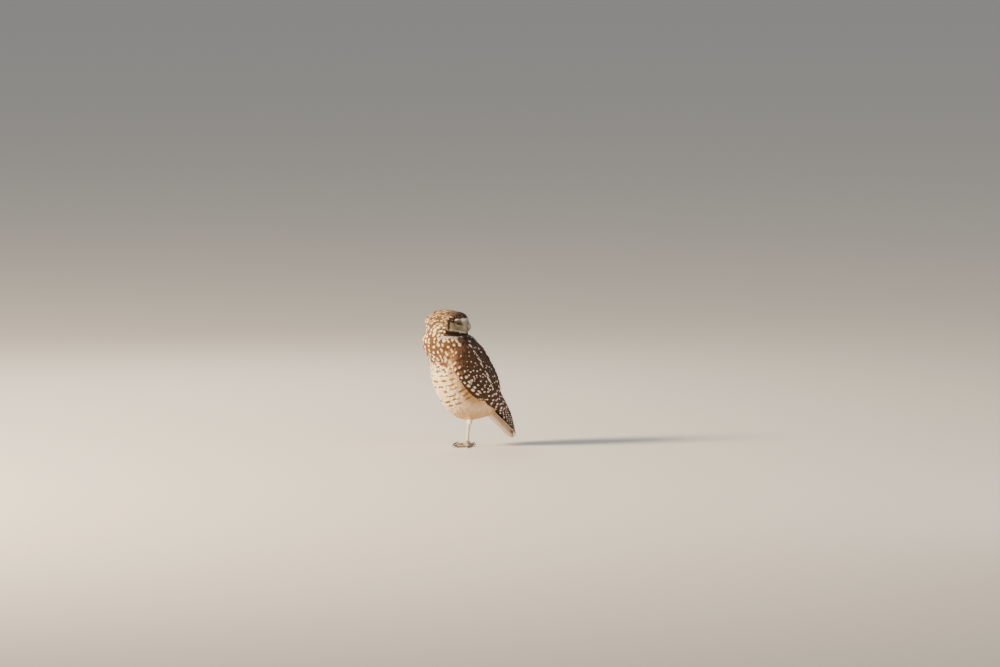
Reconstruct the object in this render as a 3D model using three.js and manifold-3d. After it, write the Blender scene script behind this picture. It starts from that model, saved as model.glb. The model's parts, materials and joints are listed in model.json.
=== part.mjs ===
// A burrowing owl at rest, life size, as a still model of named closed bodies.
// Millimetres, +Z up, the owl's body faces -Y, its left side is +X, and the floor is Z = 0.
// The origin is on the floor, under the middle of the whole owl's box.
import * as THREE from "three";
import { mergeVertices } from "three/addons/utils/BufferGeometryUtils.js";
import Module from "manifold-3d";

const wasm = await Module();
wasm.setup();
const { Manifold, Mesh } = wasm;

// Gap left between two nodes that meet.
const GAP = 0.3;

// Edges shorter than this, left by cuts, are closed up.
const SLIVER = 0.08;

// The body's outline, coat included, at stations from inside the head down the back to the wing tips.
// Each row: the spine's Y and Z, the section's lean in degrees, half width, depth to front and back.
const STATIONS = [
  [-37, 175, 4, 27, 35, 24],
  [-36, 165, 8, 34, 41, 28],
  [-32, 155, 16, 40, 41, 35],
  [-24, 140, 25, 41.5, 39.5, 39],
  [-13, 121, 28, 42.5, 51, 42],
  [-2, 101, 30, 42, 54, 43],
  [11, 81, 35, 39, 52, 41],
  [29, 61, 43, 32, 40, 31],
  [48, 42, 46, 23, 12, 24],
  [64, 27, 46, 15, 6, 16],
  [77, 13, 46, 9, 3, 7],
];

// Where the torso starts and ends on those stations, and how far it lies under the wings.
const TORSO_END = 7.7;
const UNDER_WING = 3.6;
const UNDER_MANTLE = 1.4;
const NECK_CUT = 2.45;

// Wing: the angle of its lower edge round the body at each station, 0 at the breast and 180 at the back.
const WING_EDGE = [50, 50, 50, 46, 52, 60, 69, 80, 97, 108, 112];
const WING_TOP = 168;
const WING_CORE_START = 2.2;
const WING_CORE_END = 8.4;

// Head, turned to look back over the left shoulder and bowed a little.
const HEAD_AT = new THREE.Vector3(0, -34.5, 183);
const HEAD_TURN = 128;
const HEAD_BOW = 8;
const HEAD = { side: 34, front: 31, back: 35.5, top: 22.3, under: 24 };
const EYE = { side: 14, front: 16.6, up: 5.8, radius: 8, lid: 1.1, turnedOut: 28 };
const DISH = { depth: 5.2, width: 9 };
const RIDGE = { height: 2.4, width: 5.5 };
const BROW = { height: 2, width: 3.8 };
const RIM = { height: 1.3, radius: 24, width: 3.4 };
const EYE_SLIT = { halfLength: 6.8, halfHeight: 1.9, depth: 5, slant: 12 };

// Legs and feet. The right foot stands a short step behind the left one.
const FEET = [
  { name: "left", side: 1, footX: 14, footY: -10, heelY: -8 },
  { name: "right", side: -1, footX: 14, footY: 7, heelY: 9 },
];
const CUFF = { top: 58, bottom: 29, topRadius: 13, bottomRadius: 3.9 };
const TARSUS = { top: 28.7, topRadius: 3.4, waist: 2.8, ankle: 3.2 };
const PAD = { halfWidth: 5.6, halfLength: 5.6, height: 5 };
// Each toe: number, sideways place of its root, plan angle from straight ahead (both outwards positive),
// length, half thickness and claw length.
const TOES = [
  [1, -1, 176, 10.5, 1.7, 7.5],
  [2, -3.4, -22, 16.5, 1.9, 9],
  [3, 0.9, 5, 19.5, 2, 9.5],
  [4, 3, 58, 15.5, 1.8, 8],
];

// Tail of twelve feathers, closed, central pair on top.
const TAIL = {
  rootY: 31,
  rootZ: 64,
  tipY: 77.5,
  tipZ: 10.5,
  pairs: 6,
  halfWidth: 6.2,
  spread: 1.9,
  split: 1.3,
  slabHalfWidth: 15.6,
};

const degrees = THREE.MathUtils.degToRad;
const mix = THREE.MathUtils.lerp;
const bell = (x, width) => Math.exp(-((x / width) ** 2));
const smooth = THREE.MathUtils.smoothstep;

// Repeatable random numbers from 0 to 1.
function seeded(seed) {
  let a = seed;
  return () => {
    a = (a + 0x6d2b79f5) | 0;
    let t = Math.imul(a ^ (a >>> 15), 1 | a);
    t = (t + Math.imul(t ^ (t >>> 7), 61 | t)) ^ t;
    return ((t ^ (t >>> 14)) >>> 0) / 4294967296;
  };
}

// Smooth curve through a list of equally spaced values.
function through(values, at) {
  const last = values.length - 1;
  const t = Math.min(Math.max(at, 0), last);
  const i = Math.min(Math.floor(t), last - 1);
  const f = t - i;
  const before = values[Math.max(i - 1, 0)];
  const after = values[Math.min(i + 2, last)];
  const [a, b] = [values[i], values[i + 1]];
  const slopeA = (b - before) / 2;
  const slopeB = (after - a) / 2;
  return (
    a * (2 * f ** 3 - 3 * f ** 2 + 1) +
    slopeA * (f ** 3 - 2 * f ** 2 + f) +
    b * (3 * f ** 2 - 2 * f ** 3) +
    slopeB * (f ** 3 - f ** 2)
  );
}

const station = (s) => STATIONS[0].map((_, column) => through(STATIONS.map((row) => row[column]), s));
const wingEdge = (s) => through(WING_EDGE, s);

// A point of the body's outline at station s and angle round the body, raised by lift.
function outline(s, angle, lift = 0, shrink = 1) {
  const [y, z, lean, wide, front, back] = station(s);
  const turn = degrees(angle);
  const across = (wide * shrink + lift) * Math.sin(turn);
  const depth = ((Math.cos(turn) > 0 ? front : back) * shrink + lift) * -Math.cos(turn);
  return new THREE.Vector3(
    across,
    y + depth * Math.cos(degrees(lean)),
    z + depth * Math.sin(degrees(lean)),
  );
}

// A closed surface through rings of points. Both ends close on the middle of their ring.
// Each square is cut along its one diagonal, or along the other where crossed says so.
function loft(rings, crossed = () => false) {
  const count = rings[0].length;
  const positions = rings.flat().flatMap((p) => [p.x, p.y, p.z]);
  const faces = [];
  for (let r = 0; r + 1 < rings.length; r++)
    for (let i = 0; i < count; i++) {
      const j = (i + 1) % count;
      const [a, b, c, d] = [r * count + i, r * count + j, (r + 1) * count + i, (r + 1) * count + j];
      if (crossed(i)) faces.push(a, b, c, b, d, c);
      else faces.push(a, b, d, a, d, c);
    }
  for (const [start, flip] of [
    [0, true],
    [(rings.length - 1) * count, false],
  ]) {
    const middle = new THREE.Vector3();
    const ring = start === 0 ? rings[0] : rings[rings.length - 1];
    ring.forEach((p) => middle.addScaledVector(p, 1 / count));
    const centre = positions.length / 3;
    positions.push(middle.x, middle.y, middle.z);
    for (let i = 0; i < count; i++) {
      const j = (i + 1) % count;
      faces.push(centre, start + (flip ? j : i), start + (flip ? i : j));
    }
  }
  return new THREE.BufferGeometry()
    .setAttribute("position", new THREE.Float32BufferAttribute(positions, 3))
    .setIndex(faces);
}

// A geometry as a solid, with its faces turned outwards.
function solid(geometry) {
  const bare = geometry.index ? geometry.clone() : geometry;
  bare.deleteAttribute("normal");
  bare.deleteAttribute("uv");
  const merged = mergeVertices(bare, 1e-4);
  const triVerts = new Uint32Array(merged.index.array);
  const make = () =>
    new Manifold(new Mesh({ numProp: 3, vertProperties: merged.attributes.position.array, triVerts }));
  const made = make();
  if (made.volume() > 0) return made;
  for (let i = 0; i < triVerts.length; i += 3)
    [triVerts[i + 1], triVerts[i + 2]] = [triVerts[i + 2], triVerts[i + 1]];
  return make();
}

// The largest closed body of a solid.
function largest(from) {
  const bodies = from.decompose();
  return bodies.reduce((best, body) => (body.volume() > best.volume() ? body : best));
}

function toGeometry(from) {
  const mesh = from.getMesh();
  const positions = new Float32Array(mesh.numVert * 3);
  for (let i = 0; i < mesh.numVert; i++)
    positions.set(mesh.vertProperties.subarray(i * mesh.numProp, i * mesh.numProp + 3), i * 3);
  return new THREE.BufferGeometry()
    .setAttribute("position", new THREE.BufferAttribute(positions, 3))
    .setIndex(new THREE.BufferAttribute(mesh.triVerts, 1));
}

// Trunk and neck in one surface, raised by lift. It lies lower where the wings cover it.
function trunk(lift) {
  const around = 28;
  const rings = [];
  const ringAt = (s, shrink) => {
    const ring = [];
    for (let i = 0; i < around; i++) {
      const angle = (360 * i) / around;
      const fromFront = angle > 180 ? 360 - angle : angle;
      const edge = wingEdge(s);
      const covered = smooth(fromFront, edge - 6, edge + 4) * smooth(s, 2, 3);
      const mantle = smooth(fromFront, 160, 176);
      const under = mix(UNDER_WING, UNDER_MANTLE, mantle) * covered;
      ring.push(outline(s, angle, lift - under, shrink));
    }
    rings.push(ring);
  };
  ringAt(-0.5, 0.5);
  for (let s = 0; s <= 6.5; s += 0.5) ringAt(s, 1);
  for (const [before, shrink] of [
    [0.95, 0.95],
    [0.6, 0.84],
    [0.25, 0.62],
    [0, 0.34],
  ])
    ringAt(TORSO_END - before, shrink);
  return solid(loft(rings));
}

// A feather's tip ends in a short blunt edge, this share of its full width.
const BLUNT = 0.34;

// A feather's outline: half width at a share of its length, rounded at the tip.
function featherWidth(share, rootShare, tipStart) {
  const root = mix(rootShare, 1, smooth(share, 0, 0.5));
  const tip = share < tipStart ? 1 : Math.sqrt(Math.max(0, 1 - ((share - tipStart) / (1 - tipStart)) ** 2));
  return root * tip;
}

// One feather as a tapered blade along a path: two vanes that meet in a ridge along the shaft, over a keel
// that sinks into what lies under the feather near its root.
function vane(settings) {
  const { centre, normal, halfWidth, thick, steps } = settings;
  const { keel = 0, roll = 0, rootShare = 0.6, tipStart = 0.7 } = settings;
  const rings = steps.map((share) => {
    const here = centre(share);
    const along = centre(Math.min(share + 0.02, 1)).sub(centre(Math.max(share - 0.02, 0))).normalize();
    const up = normal(share);
    const flat = new THREE.Vector3().crossVectors(up, along).normalize();
    const side = flat.clone().multiplyScalar(Math.cos(roll)).addScaledVector(up, Math.sin(roll));
    const half = halfWidth * Math.max(featherWidth(share, rootShare, tipStart), BLUNT);
    const ridge = thick * mix(1, 0.6, share);
    const under = keel * (1 - share) ** 0.5 + 0.15;
    const edge = (sign) => here.clone().addScaledVector(side, sign * half);
    const below = here.clone().addScaledVector(up, -under);
    const above = here.clone().addScaledVector(up, ridge);
    return [edge(-1), below, edge(1), above];
  });
  return solid(loft(rings));
}

const LONG_STEPS = [0, 0.42, 0.86, 1];
const SHORT_STEPS = [0, 0.45, 0.82, 1];

// A feather laid on the body's outline from one station and angle to another, on the left or right side.
function bodyFeather(side, settings) {
  const { from, to, halfWidth, lift } = settings;
  const { thick = 1.2, keel = 4, roll = 6, steps = SHORT_STEPS, tipStart = 0.62 } = settings;
  const place = (share, extra = 0) => {
    const p = outline(
      mix(from[0], to[0], share),
      mix(from[1], to[1], share),
      mix(lift[0], lift[1], share) + extra,
    );
    p.x *= side;
    return p;
  };
  return vane({
    centre: (share) => place(share),
    normal: (share) => place(share, 1).sub(place(share)).normalize(),
    halfWidth,
    thick,
    keel,
    roll: -side * degrees(roll),
    steps,
    tipStart,
  });
}

// The thin base of a wing, laid over the side of the trunk, that its feathers grow from.
function wingBase(side) {
  const alongSteps = 10;
  const aroundSteps = 6;
  const rings = [];
  for (let i = 0; i <= alongSteps; i++) {
    const s = mix(WING_CORE_START, WING_CORE_END, i / alongSteps);
    const low = wingEdge(s) + 3;
    const high = mix(WING_TOP, 150, smooth(s, 7.2, WING_CORE_END));
    const depth = mix(6, 2.2, smooth(s, 6.4, 7.4));
    const outer = [];
    const inner = [];
    for (let j = 0; j <= aroundSteps; j++) {
      const share = j / aroundSteps;
      const angle = mix(low, high, share);
      const edge = 1 - Math.abs(2 * share - 1) ** 4;
      outer.push(outline(s, angle, mix(-2.8, -1.6, edge)));
      inner.unshift(outline(s, angle, -2.8 - mix(0.6, depth, edge)));
    }
    rings.push([...outer, ...inner]);
  }
  rings.flat().forEach((p) => (p.x *= side));
  return solid(loft(rings));
}

// All the feathers of one folded wing, tier by tier, from the wing tip up to the shoulder.
// Angles run from the wing's lower edge up towards the back.
function wingFeathers(side) {
  const random = seeded(side > 0 ? 11 : 23);
  const vary = (amount) => (random() - 0.5) * 2 * amount;
  const feathers = [];
  const tier = (count, settings) => {
    for (let i = 0; i < count; i++) feathers.push(bodyFeather(side, settings(i / (count - 1))));
  };
  // Primaries, along the lower edge to the wing tip, the outermost lowest.
  tier(6, (share) => {
    const tip = mix(9.95, 8.75, share);
    return {
      from: [5.4, wingEdge(5.4) + 11 + 24 * share],
      to: [tip, wingEdge(tip) + 10 + 44 * share ** 0.8],
      halfWidth: 5.4,
      lift: [-3.2, -2.6 + 1.6 * share],
      keel: 1.5,
      steps: LONG_STEPS,
      tipStart: 0.8,
    };
  });
  // Secondaries, and the broad inner ones that close the back.
  tier(6, (share) => {
    const tip = mix(7.6, 8.7, share) + vary(0.05);
    return {
      from: [4.6, mix(wingEdge(4.6) + 9, 150, share)],
      to: [tip, mix(wingEdge(tip) + 14, 161, share)],
      halfWidth: mix(8, 9, share),
      lift: [-3, -0.9 + 0.3 * share],
      keel: 2,
      steps: LONG_STEPS,
      tipStart: 0.72,
    };
  });
  // Primary coverts, short and stiff along the lower edge.
  tier(3, (share) => ({
    from: [3.9 + share * 0.3, wingEdge(4) + 5 + 8 * share],
    to: [6.1 + 0.35 * share, wingEdge(6.2) + 4 + 12 * share],
    halfWidth: 4.8,
    lift: [-2.8, -0.9 + 0.5 * share],
  }));
  // Greater coverts.
  tier(7, (share) => ({
    from: [3.8, mix(wingEdge(3.8) + 11, 128, share)],
    to: [5.7 + 0.25 * share + vary(0.06), mix(wingEdge(5.7) + 15, 132, share)],
    halfWidth: 7.2,
    lift: [-2.6, -0.2],
  }));
  // Median coverts.
  tier(7, (share) => ({
    from: [3.2, mix(wingEdge(3.2) + 10, 122, share)],
    to: [4.75 + vary(0.08), mix(wingEdge(4.7) + 10, 126, share)],
    halfWidth: 6.2,
    lift: [-2.4, 0.1],
  }));
  // Lesser coverts over the bend of the wing, in two rows.
  for (const [row, start, count] of [
    [0, 2.75, 5],
    [1, 2.3, 5],
  ])
    tier(count, (share) => ({
      from: [start, mix(wingEdge(start) + 9 - row, 116, share)],
      to: [start + 1.25 + vary(0.06), mix(wingEdge(start + 1.2) + 7 - row, 120, share)],
      halfWidth: 6,
      lift: [-4.2, 0.3 + 0.2 * row],
    }));
  // Scapulars, in two rows from the shoulder down the back.
  for (const [outer, count, start] of [
    [true, 5, 2.5],
    [false, 5, 2.3],
  ])
    tier(count, (share) => {
      const root = start + 2.9 * share;
      const angle = outer ? mix(136, 143, share) : mix(162, 165, share);
      return {
        from: [root, angle],
        to: [root + 1.75 + vary(0.05), angle + 3],
        halfWidth: 8.4,
        lift: [-3.4, 0.6 + (outer ? 0 : 0.3)],
      };
    });
  return feathers;
}

function wing(side, clear) {
  const joined = Manifold.union([wingBase(side), ...wingFeathers(side)]);
  // The other wing's half of space, which this wing keeps out of.
  const across = new THREE.BoxGeometry(60, 240, 240);
  across.translate(side * (GAP / 2 - 30), 0, 100);
  const free = joined.subtract(clear).subtract(tailSlab(-1, TAIL.split + GAP / 2));
  return largest(free.subtract(solid(across)));
}

// The tail's own axes: its root, the way it runs, its upper side and its length.
const tailRoot = new THREE.Vector3(0, TAIL.rootY, TAIL.rootZ);
const tailTip = new THREE.Vector3(0, TAIL.tipY, TAIL.tipZ);
const tailAlong = tailTip.clone().sub(tailRoot).normalize();
const tailUp = new THREE.Vector3(0, -tailAlong.z, tailAlong.y);
const tailLength = tailRoot.distanceTo(tailTip);

// The space above (+1) or below (-1) a plane at a height over the tail's middle.
function tailSlab(way, height) {
  const slab = new THREE.BoxGeometry(2 * TAIL.slabHalfWidth, 40, 1.5 * tailLength);
  slab.translate(0, height + way * 20, 0.75 * tailLength);
  const axes = new THREE.Matrix4().makeBasis(new THREE.Vector3(-1, 0, 0), tailUp, tailAlong);
  slab.applyMatrix4(axes.setPosition(tailRoot));
  return solid(slab);
}

// Tail feathers, with their coverts above and below, on a base that meets the rump.
function tail(clear) {
  const [root, along, up, length] = [tailRoot, tailAlong, tailUp, tailLength];
  const random = seeded(5);
  const vary = (amount) => (random() - 0.5) * 2 * amount;
  const feather = (settings) => {
    const { x, fromX, start, end, height, drop, halfWidth } = settings;
    const { thick = 1.3, roll = 0, tipStart = 0.84, steps = LONG_STEPS } = settings;
    return vane({
      centre: (share) =>
        root
          .clone()
          .addScaledVector(along, mix(start, end, share))
          .addScaledVector(up, mix(height, drop, share))
          .add(new THREE.Vector3(mix(fromX, x, share), 0, 0)),
      normal: () => up.clone(),
      halfWidth,
      thick,
      roll: degrees(roll),
      steps,
      tipStart,
      rootShare: 0.5,
    });
  };
  const pieces = [];
  for (let i = 0; i < TAIL.pairs; i++)
    for (const side of [-1, 1]) {
      const out = i + 0.5;
      pieces.push(
        feather({
          x: side * out * TAIL.spread * 0.9,
          fromX: side * out * 0.9,
          start: 0,
          end: length - 0.75 * i,
          height: -0.4 * i,
          drop: -0.55 * i,
          halfWidth: TAIL.halfWidth,
          roll: side * 5,
        }),
      );
    }
  // Upper coverts, under the folded wings.
  for (const across of [-1, 0, 1])
    pieces.push(
      feather({
        x: across * 7,
        fromX: across * 5,
        start: -2,
        end: 27 - 3 * Math.abs(across) + vary(1),
        height: 2.6,
        drop: 0.9,
        halfWidth: 6.5,
        tipStart: 0.7,
        steps: SHORT_STEPS,
      }),
    );
  // Under coverts in two rows, loose and soft, from the vent to past half the tail's length.
  for (const [row, count, reach] of [
    [0, 4, 55],
    [1, 3, 44],
  ])
    for (let i = 0; i < count; i++) {
      const across = i - (count - 1) / 2;
      pieces.push(
        feather({
          x: across * 6.4,
          fromX: across * 5.4,
          start: 14,
          end: reach - 2.5 * Math.abs(across) + vary(1.5),
          height: -7 - 1.6 * row,
          drop: -4.4 - 1.8 * row,
          halfWidth: 5.6,
          thick: 2,
          tipStart: 0.66,
          steps: SHORT_STEPS,
        }),
      );
    }
  const base = new THREE.SphereGeometry(1, 12, 8);
  base.scale(13, 7, 18);
  base.applyMatrix4(
    new THREE.Matrix4()
      .makeBasis(new THREE.Vector3(1, 0, 0), up.clone(), along.clone().negate())
      .setPosition(root.clone().addScaledVector(along, 15).addScaledVector(up, -4)),
  );
  pieces.push(solid(base));
  return largest(Manifold.union(pieces).subtract(clear).subtract(tailSlab(1, TAIL.split - GAP / 2)));
}

const headMatrix = new THREE.Matrix4()
  .makeRotationZ(degrees(HEAD_TURN))
  .multiply(new THREE.Matrix4().makeRotationX(degrees(HEAD_BOW)))
  .setPosition(HEAD_AT);

// The head before it is turned: it faces -Y, with the face's flat disc, brows and cheeks drawn in relief.
function headForm(lift) {
  const bands = [8, 15, 22, 29, 35, 41, 47, 54, 62, 72, 86, 103, 122, 141, 159, 172];
  const around = 32;
  const rings = bands.map((band) => {
    const ring = [];
    for (let i = 0; i < around; i++) {
      const turn = (2 * Math.PI * i) / around;
      const out = Math.sin(degrees(band));
      const d = new THREE.Vector3(out * Math.sin(turn), -Math.cos(degrees(band)), out * Math.cos(turn));
      ring.push(headPoint(d, lift));
    }
    return ring;
  });
  // The diagonals run level on both sides, as the brows do.
  return solid(loft(rings, (i) => Math.floor((4 * i) / around) % 2 === 1));
}

// Where the head's surface lies in a direction: an egg with a dished face, a ridge between the eyes,
// brows, cheeks and the raised rim of the facial disc.
function headPoint(d, lift) {
  const deep = d.y < 0 ? HEAD.front : HEAD.back;
  const high = d.z > 0 ? HEAD.top : HEAD.under;
  const power = 2 + 0.6 * smooth(-d.y, 0.1, 0.8);
  const radii = [HEAD.side, deep, high];
  const sum = d.toArray().reduce((total, part, axis) => total + Math.abs(part / radii[axis]) ** power, 0);
  const p = d.clone().multiplyScalar(sum ** (-1 / power) + lift);
  const aside = Math.abs(p.x);
  const facing = smooth(-d.y, 0.15, 0.55);
  const toEye = Math.hypot((aside - EYE.side - 3.5) / 1.1, p.z - EYE.up + 0.5);
  const toRim = Math.hypot(p.x / 1.28, p.z - 2);
  const browLine = EYE.up + 7.6 + 0.06 * aside;
  let raise = -DISH.depth * bell(toEye, DISH.width);
  raise += RIDGE.height * bell(p.x, RIDGE.width) * smooth(p.z, -9, 0) * (1 - smooth(p.z, 10, 20));
  raise += BROW.height * bell(p.z - browLine, BROW.width) * (1 - smooth(aside, 14, 30));
  raise *= facing;
  const onRim = smooth(-d.y, -0.1, 0.2) * smooth(20 - p.z, 0, 8);
  raise += RIM.height * bell(toRim - RIM.radius, RIM.width) * onRim;
  p.y -= raise * facing;
  p.addScaledVector(d, raise * (1 - facing));
  return p;
}

// A ball round an eye's centre, in the head's own frame.
function eyeBall(side, radius) {
  const ball = new THREE.SphereGeometry(radius, 14, 9);
  ball.translate(side * EYE.side, -EYE.front, EYE.up);
  return ball;
}

// The opening between the lids, a long narrow lens.
function eyeSlit(side) {
  const lens = new THREE.SphereGeometry(1, 14, 6);
  lens.scale(EYE_SLIT.halfLength, EYE_SLIT.depth, EYE_SLIT.halfHeight);
  lens.translate(0, -EYE.radius - 0.8, -0.4);
  lens.rotateY(side * degrees(EYE_SLIT.slant));
  lens.rotateZ(side * degrees(EYE.turnedOut));
  lens.translate(side * EYE.side, -EYE.front, EYE.up);
  return lens;
}

// Bill: a curved, hooked cone, with the waxy cere and the nostrils at its root.
function curvedCone(points, widths, heights, sides) {
  const curve = new THREE.CatmullRomCurve3(points);
  const steps = 6;
  const rings = [];
  for (let i = 0; i <= steps; i++) {
    const share = i / steps;
    const here = curve.getPoint(share);
    const along = curve.getTangent(share);
    const side = new THREE.Vector3(1, 0, 0);
    const up = new THREE.Vector3().crossVectors(side, along).normalize();
    const ring = [];
    for (let j = 0; j < sides; j++) {
      const turn = (2 * Math.PI * j) / sides;
      ring.push(
        here
          .clone()
          .addScaledVector(side, through(widths, share * (widths.length - 1)) * Math.cos(turn))
          .addScaledVector(up, through(heights, share * (heights.length - 1)) * Math.sin(turn)),
      );
    }
    rings.push(ring);
  }
  return solid(loft(rings));
}

// The lines along the middle of the upper and lower bill, with their half widths and half heights.
const UPPER = {
  line: [
    [0, -23, 6],
    [0, -30, 5.2],
    [0, -33.6, 1.8],
    [0, -34.4, -2.2],
    [0, -33.1, -5.6],
  ],
  widths: [5, 4.7, 3.7, 2.3, 0.35],
  heights: [4.6, 4.3, 3.3, 2, 0.35],
  sides: 10,
};
const LOWER = {
  line: [
    [0, -24, -0.6],
    [0, -28.4, -1.8],
    [0, -31.3, -4.1],
  ],
  widths: [4.2, 3.6, 1.2],
  heights: [2.4, 1.9, 0.7],
  sides: 8,
};

// One half of the bill, made larger all round by extra.
function billHalf({ line, widths, heights, sides }, extra = 0) {
  const points = line.map((p) => new THREE.Vector3(...p));
  const last = points.length - 1;
  const reach = points[last].clone().sub(points[last - 1]).setLength(extra);
  points[last].add(reach);
  return curvedCone(
    points,
    widths.map((w) => w + extra),
    heights.map((h) => h + extra),
    sides,
  );
}

function upperBill() {
  const nostrils = [-1, 1].map((side) => {
    const hole = new THREE.SphereGeometry(0.75, 6, 5);
    hole.translate(side * 3.8, -31.6, 5);
    return solid(hole);
  });
  return billHalf(UPPER).subtract(Manifold.union(nostrils));
}

const billRoom = (extra) => billHalf(UPPER, extra).add(billHalf(LOWER, extra));

function headParts() {
  const upper = upperBill();
  const lower = billHalf(LOWER).subtract(billHalf(UPPER, GAP));
  let head = headForm(0);
  let room = headForm(GAP);
  for (const side of [-1, 1]) {
    head = head.add(solid(eyeBall(side, EYE.radius + GAP + EYE.lid)));
    room = room.add(solid(eyeBall(side, EYE.radius + 2 * GAP + EYE.lid)));
  }
  for (const side of [-1, 1])
    head = head.subtract(solid(eyeBall(side, EYE.radius + GAP))).subtract(solid(eyeSlit(side)));
  head = largest(head.subtract(billRoom(GAP)));
  const parts = { head, bill_upper: upper, bill_lower: largest(lower) };
  parts.eye_left = solid(eyeBall(1, EYE.radius));
  parts.eye_right = solid(eyeBall(-1, EYE.radius));
  return { parts, room: room.add(billRoom(3 * GAP)) };
}

const turned = (from) => from.transform(headMatrix.elements);

// A limb of round sections down a line of points, each with its radius.
function limb(points, radii, sides) {
  const rings = points.map((p, i) => {
    const ring = [];
    for (let j = 0; j < sides; j++) {
      const turn = (2 * Math.PI * j) / sides;
      const [dx, dy] = [radii[i] * Math.cos(turn), radii[i] * Math.sin(turn)];
      ring.push(new THREE.Vector3(p[0] + dx, p[1] + dy, p[2]));
    }
    return ring;
  });
  return solid(loft(rings));
}

// The feathered cuff of the thigh, from inside the belly to the heel.
function cuff({ side, footX, heelY }) {
  const levels = [0, 0.35, 0.62, 0.82, 1];
  const points = levels.map((t) => [
    side * mix(footX + 1.5, footX, t),
    heelY + mix(6, 0, t),
    mix(CUFF.top, CUFF.bottom, t),
  ]);
  const radii = levels.map((t) => mix(CUFF.bottomRadius, CUFF.topRadius, (1 - t) ** 1.5));
  return limb(points, radii, 12);
}

function tarsus({ side, footX, footY, heelY }) {
  const foot = PAD.height - 0.4;
  const levels = [0, 0.2, 0.5, 0.8, 1];
  const { topRadius, waist, ankle } = TARSUS;
  const radii = [topRadius, mix(topRadius, waist, 0.6), waist, ankle * 0.9, ankle];
  const points = levels.map((t) => [side * footX, mix(heelY, footY, t), mix(TARSUS.top, foot, t)]);
  return limb(points, radii, 10);
}

// Lowers a point no further than the floor, which makes the flats that the feet stand on.
const onFloor = (p) => p.setZ(Math.max(p.z, 0));

function pad({ side, footX, footY }) {
  const ball = new THREE.SphereGeometry(1, 12, 8);
  ball.rotateX(Math.PI / 2);
  ball.scale(PAD.halfWidth, PAD.halfLength, PAD.height * 0.62);
  const place = ball.attributes.position;
  for (let i = 0; i < place.count; i++) {
    const p = new THREE.Vector3().fromBufferAttribute(place, i);
    p.add(new THREE.Vector3(side * footX, footY, PAD.height * 0.5));
    onFloor(p);
    place.setXYZ(i, p.x, p.y, p.z);
  }
  return solid(ball);
}

// One toe, knuckled and flat underneath, and its claw, from the foot's middle outwards.
function toeAndClaw(foot, [number, aside, angle, length, thick, clawLength]) {
  const turn = degrees(angle) * foot.side;
  const ahead = new THREE.Vector3(Math.sin(turn), -Math.cos(turn), 0);
  const across = new THREE.Vector3(Math.cos(turn), Math.sin(turn), 0);
  const centre = new THREE.Vector3(foot.side * (foot.footX + aside), foot.footY, 0);
  const start = 2.5;
  const knuckles = number === 1 ? 1.5 : 2.5;
  const rings = [];
  const steps = 6;
  for (let i = 0; i <= steps; i++) {
    const share = i / steps;
    const bulge = 0.86 + 0.16 * Math.cos(2 * Math.PI * knuckles * share) ** 2;
    const end = i === steps ? 0.55 : 1;
    const radius = thick * bulge * mix(1.05, 0.86, share) * end;
    const ring = [];
    for (let j = 0; j < 6; j++) {
      const a = (2 * Math.PI * (j + 0.5)) / 6;
      const p = centre
        .clone()
        .addScaledVector(ahead, start + (length - start) * share)
        .addScaledVector(across, radius * Math.cos(a));
      p.z = thick * 0.8 + radius * Math.sin(a);
      ring.push(onFloor(p));
    }
    rings.push(ring);
  }
  const toe = solid(loft(rings));
  const clawRings = [];
  const clawSteps = 4;
  for (let i = 0; i <= clawSteps; i++) {
    const share = i / clawSteps;
    const sweep = share * degrees(78);
    const reach = (clawLength * Math.sin(sweep)) / degrees(78);
    const fall = (clawLength * (1 - Math.cos(sweep))) / degrees(78);
    const radius = mix(1.35, 0.25, share ** 0.9);
    const middle = centre.clone().addScaledVector(ahead, length - 1 + reach);
    const arch = 1.6 * Math.sin(Math.PI * Math.min(share * 1.6, 1));
    middle.z = Math.max(thick * 0.95 + arch - fall * 0.62, radius * 0.9 + 0.1);
    const up = new THREE.Vector3(0, 0, Math.cos(sweep)).addScaledVector(ahead, Math.sin(sweep));
    const ring = [];
    for (let j = 0; j < 5; j++) {
      const a = (2 * Math.PI * j) / 5;
      const p = middle
        .clone()
        .addScaledVector(across, radius * 0.8 * Math.cos(a))
        .addScaledVector(up, radius * Math.sin(a));
      ring.push(onFloor(p));
    }
    clawRings.push(ring);
  }
  return { toe, claw: solid(loft(clawRings)) };
}

// A solid made a little larger about its own middle, for cutting room in what it meets.
function roomFor(from, gap) {
  const { min, max } = from.boundingBox();
  const size = [0, 1, 2].map((k) => max[k] - min[k]);
  const middle = [0, 1, 2].map((k) => (max[k] + min[k]) / 2);
  const scale = size.map((length) => 1 + (2 * gap) / length);
  return from
    .translate(middle.map((m) => -m))
    .scale(scale)
    .translate(middle);
}

const parts = {};

// Flesh: the trunk is cut from the neck by a thin gap, and both give way to the head.
const whole = trunk(0);
const [cutY, cutZ, cutLean] = station(NECK_CUT);
const knife = new THREE.BoxGeometry(140, 160, GAP);
knife.rotateX(degrees(cutLean));
knife.translate(0, cutY, cutZ);
const headPieces = headParts();
const headRoom = turned(headPieces.room);
const severed = whole
  .subtract(solid(knife))
  .subtract(headRoom)
  .decompose()
  .sort((a, b) => b.volume() - a.volume());
parts.torso = severed[0];
parts.neck = severed[1];
for (const [name, piece] of Object.entries(headPieces.parts)) parts[name] = turned(piece);

// Wings and tail give way to the trunk.
const trunkRoom = trunk(GAP);
parts.wing_left = wing(1, trunkRoom);
parts.wing_right = wing(-1, trunkRoom);
parts.tail = tail(trunkRoom);

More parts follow.
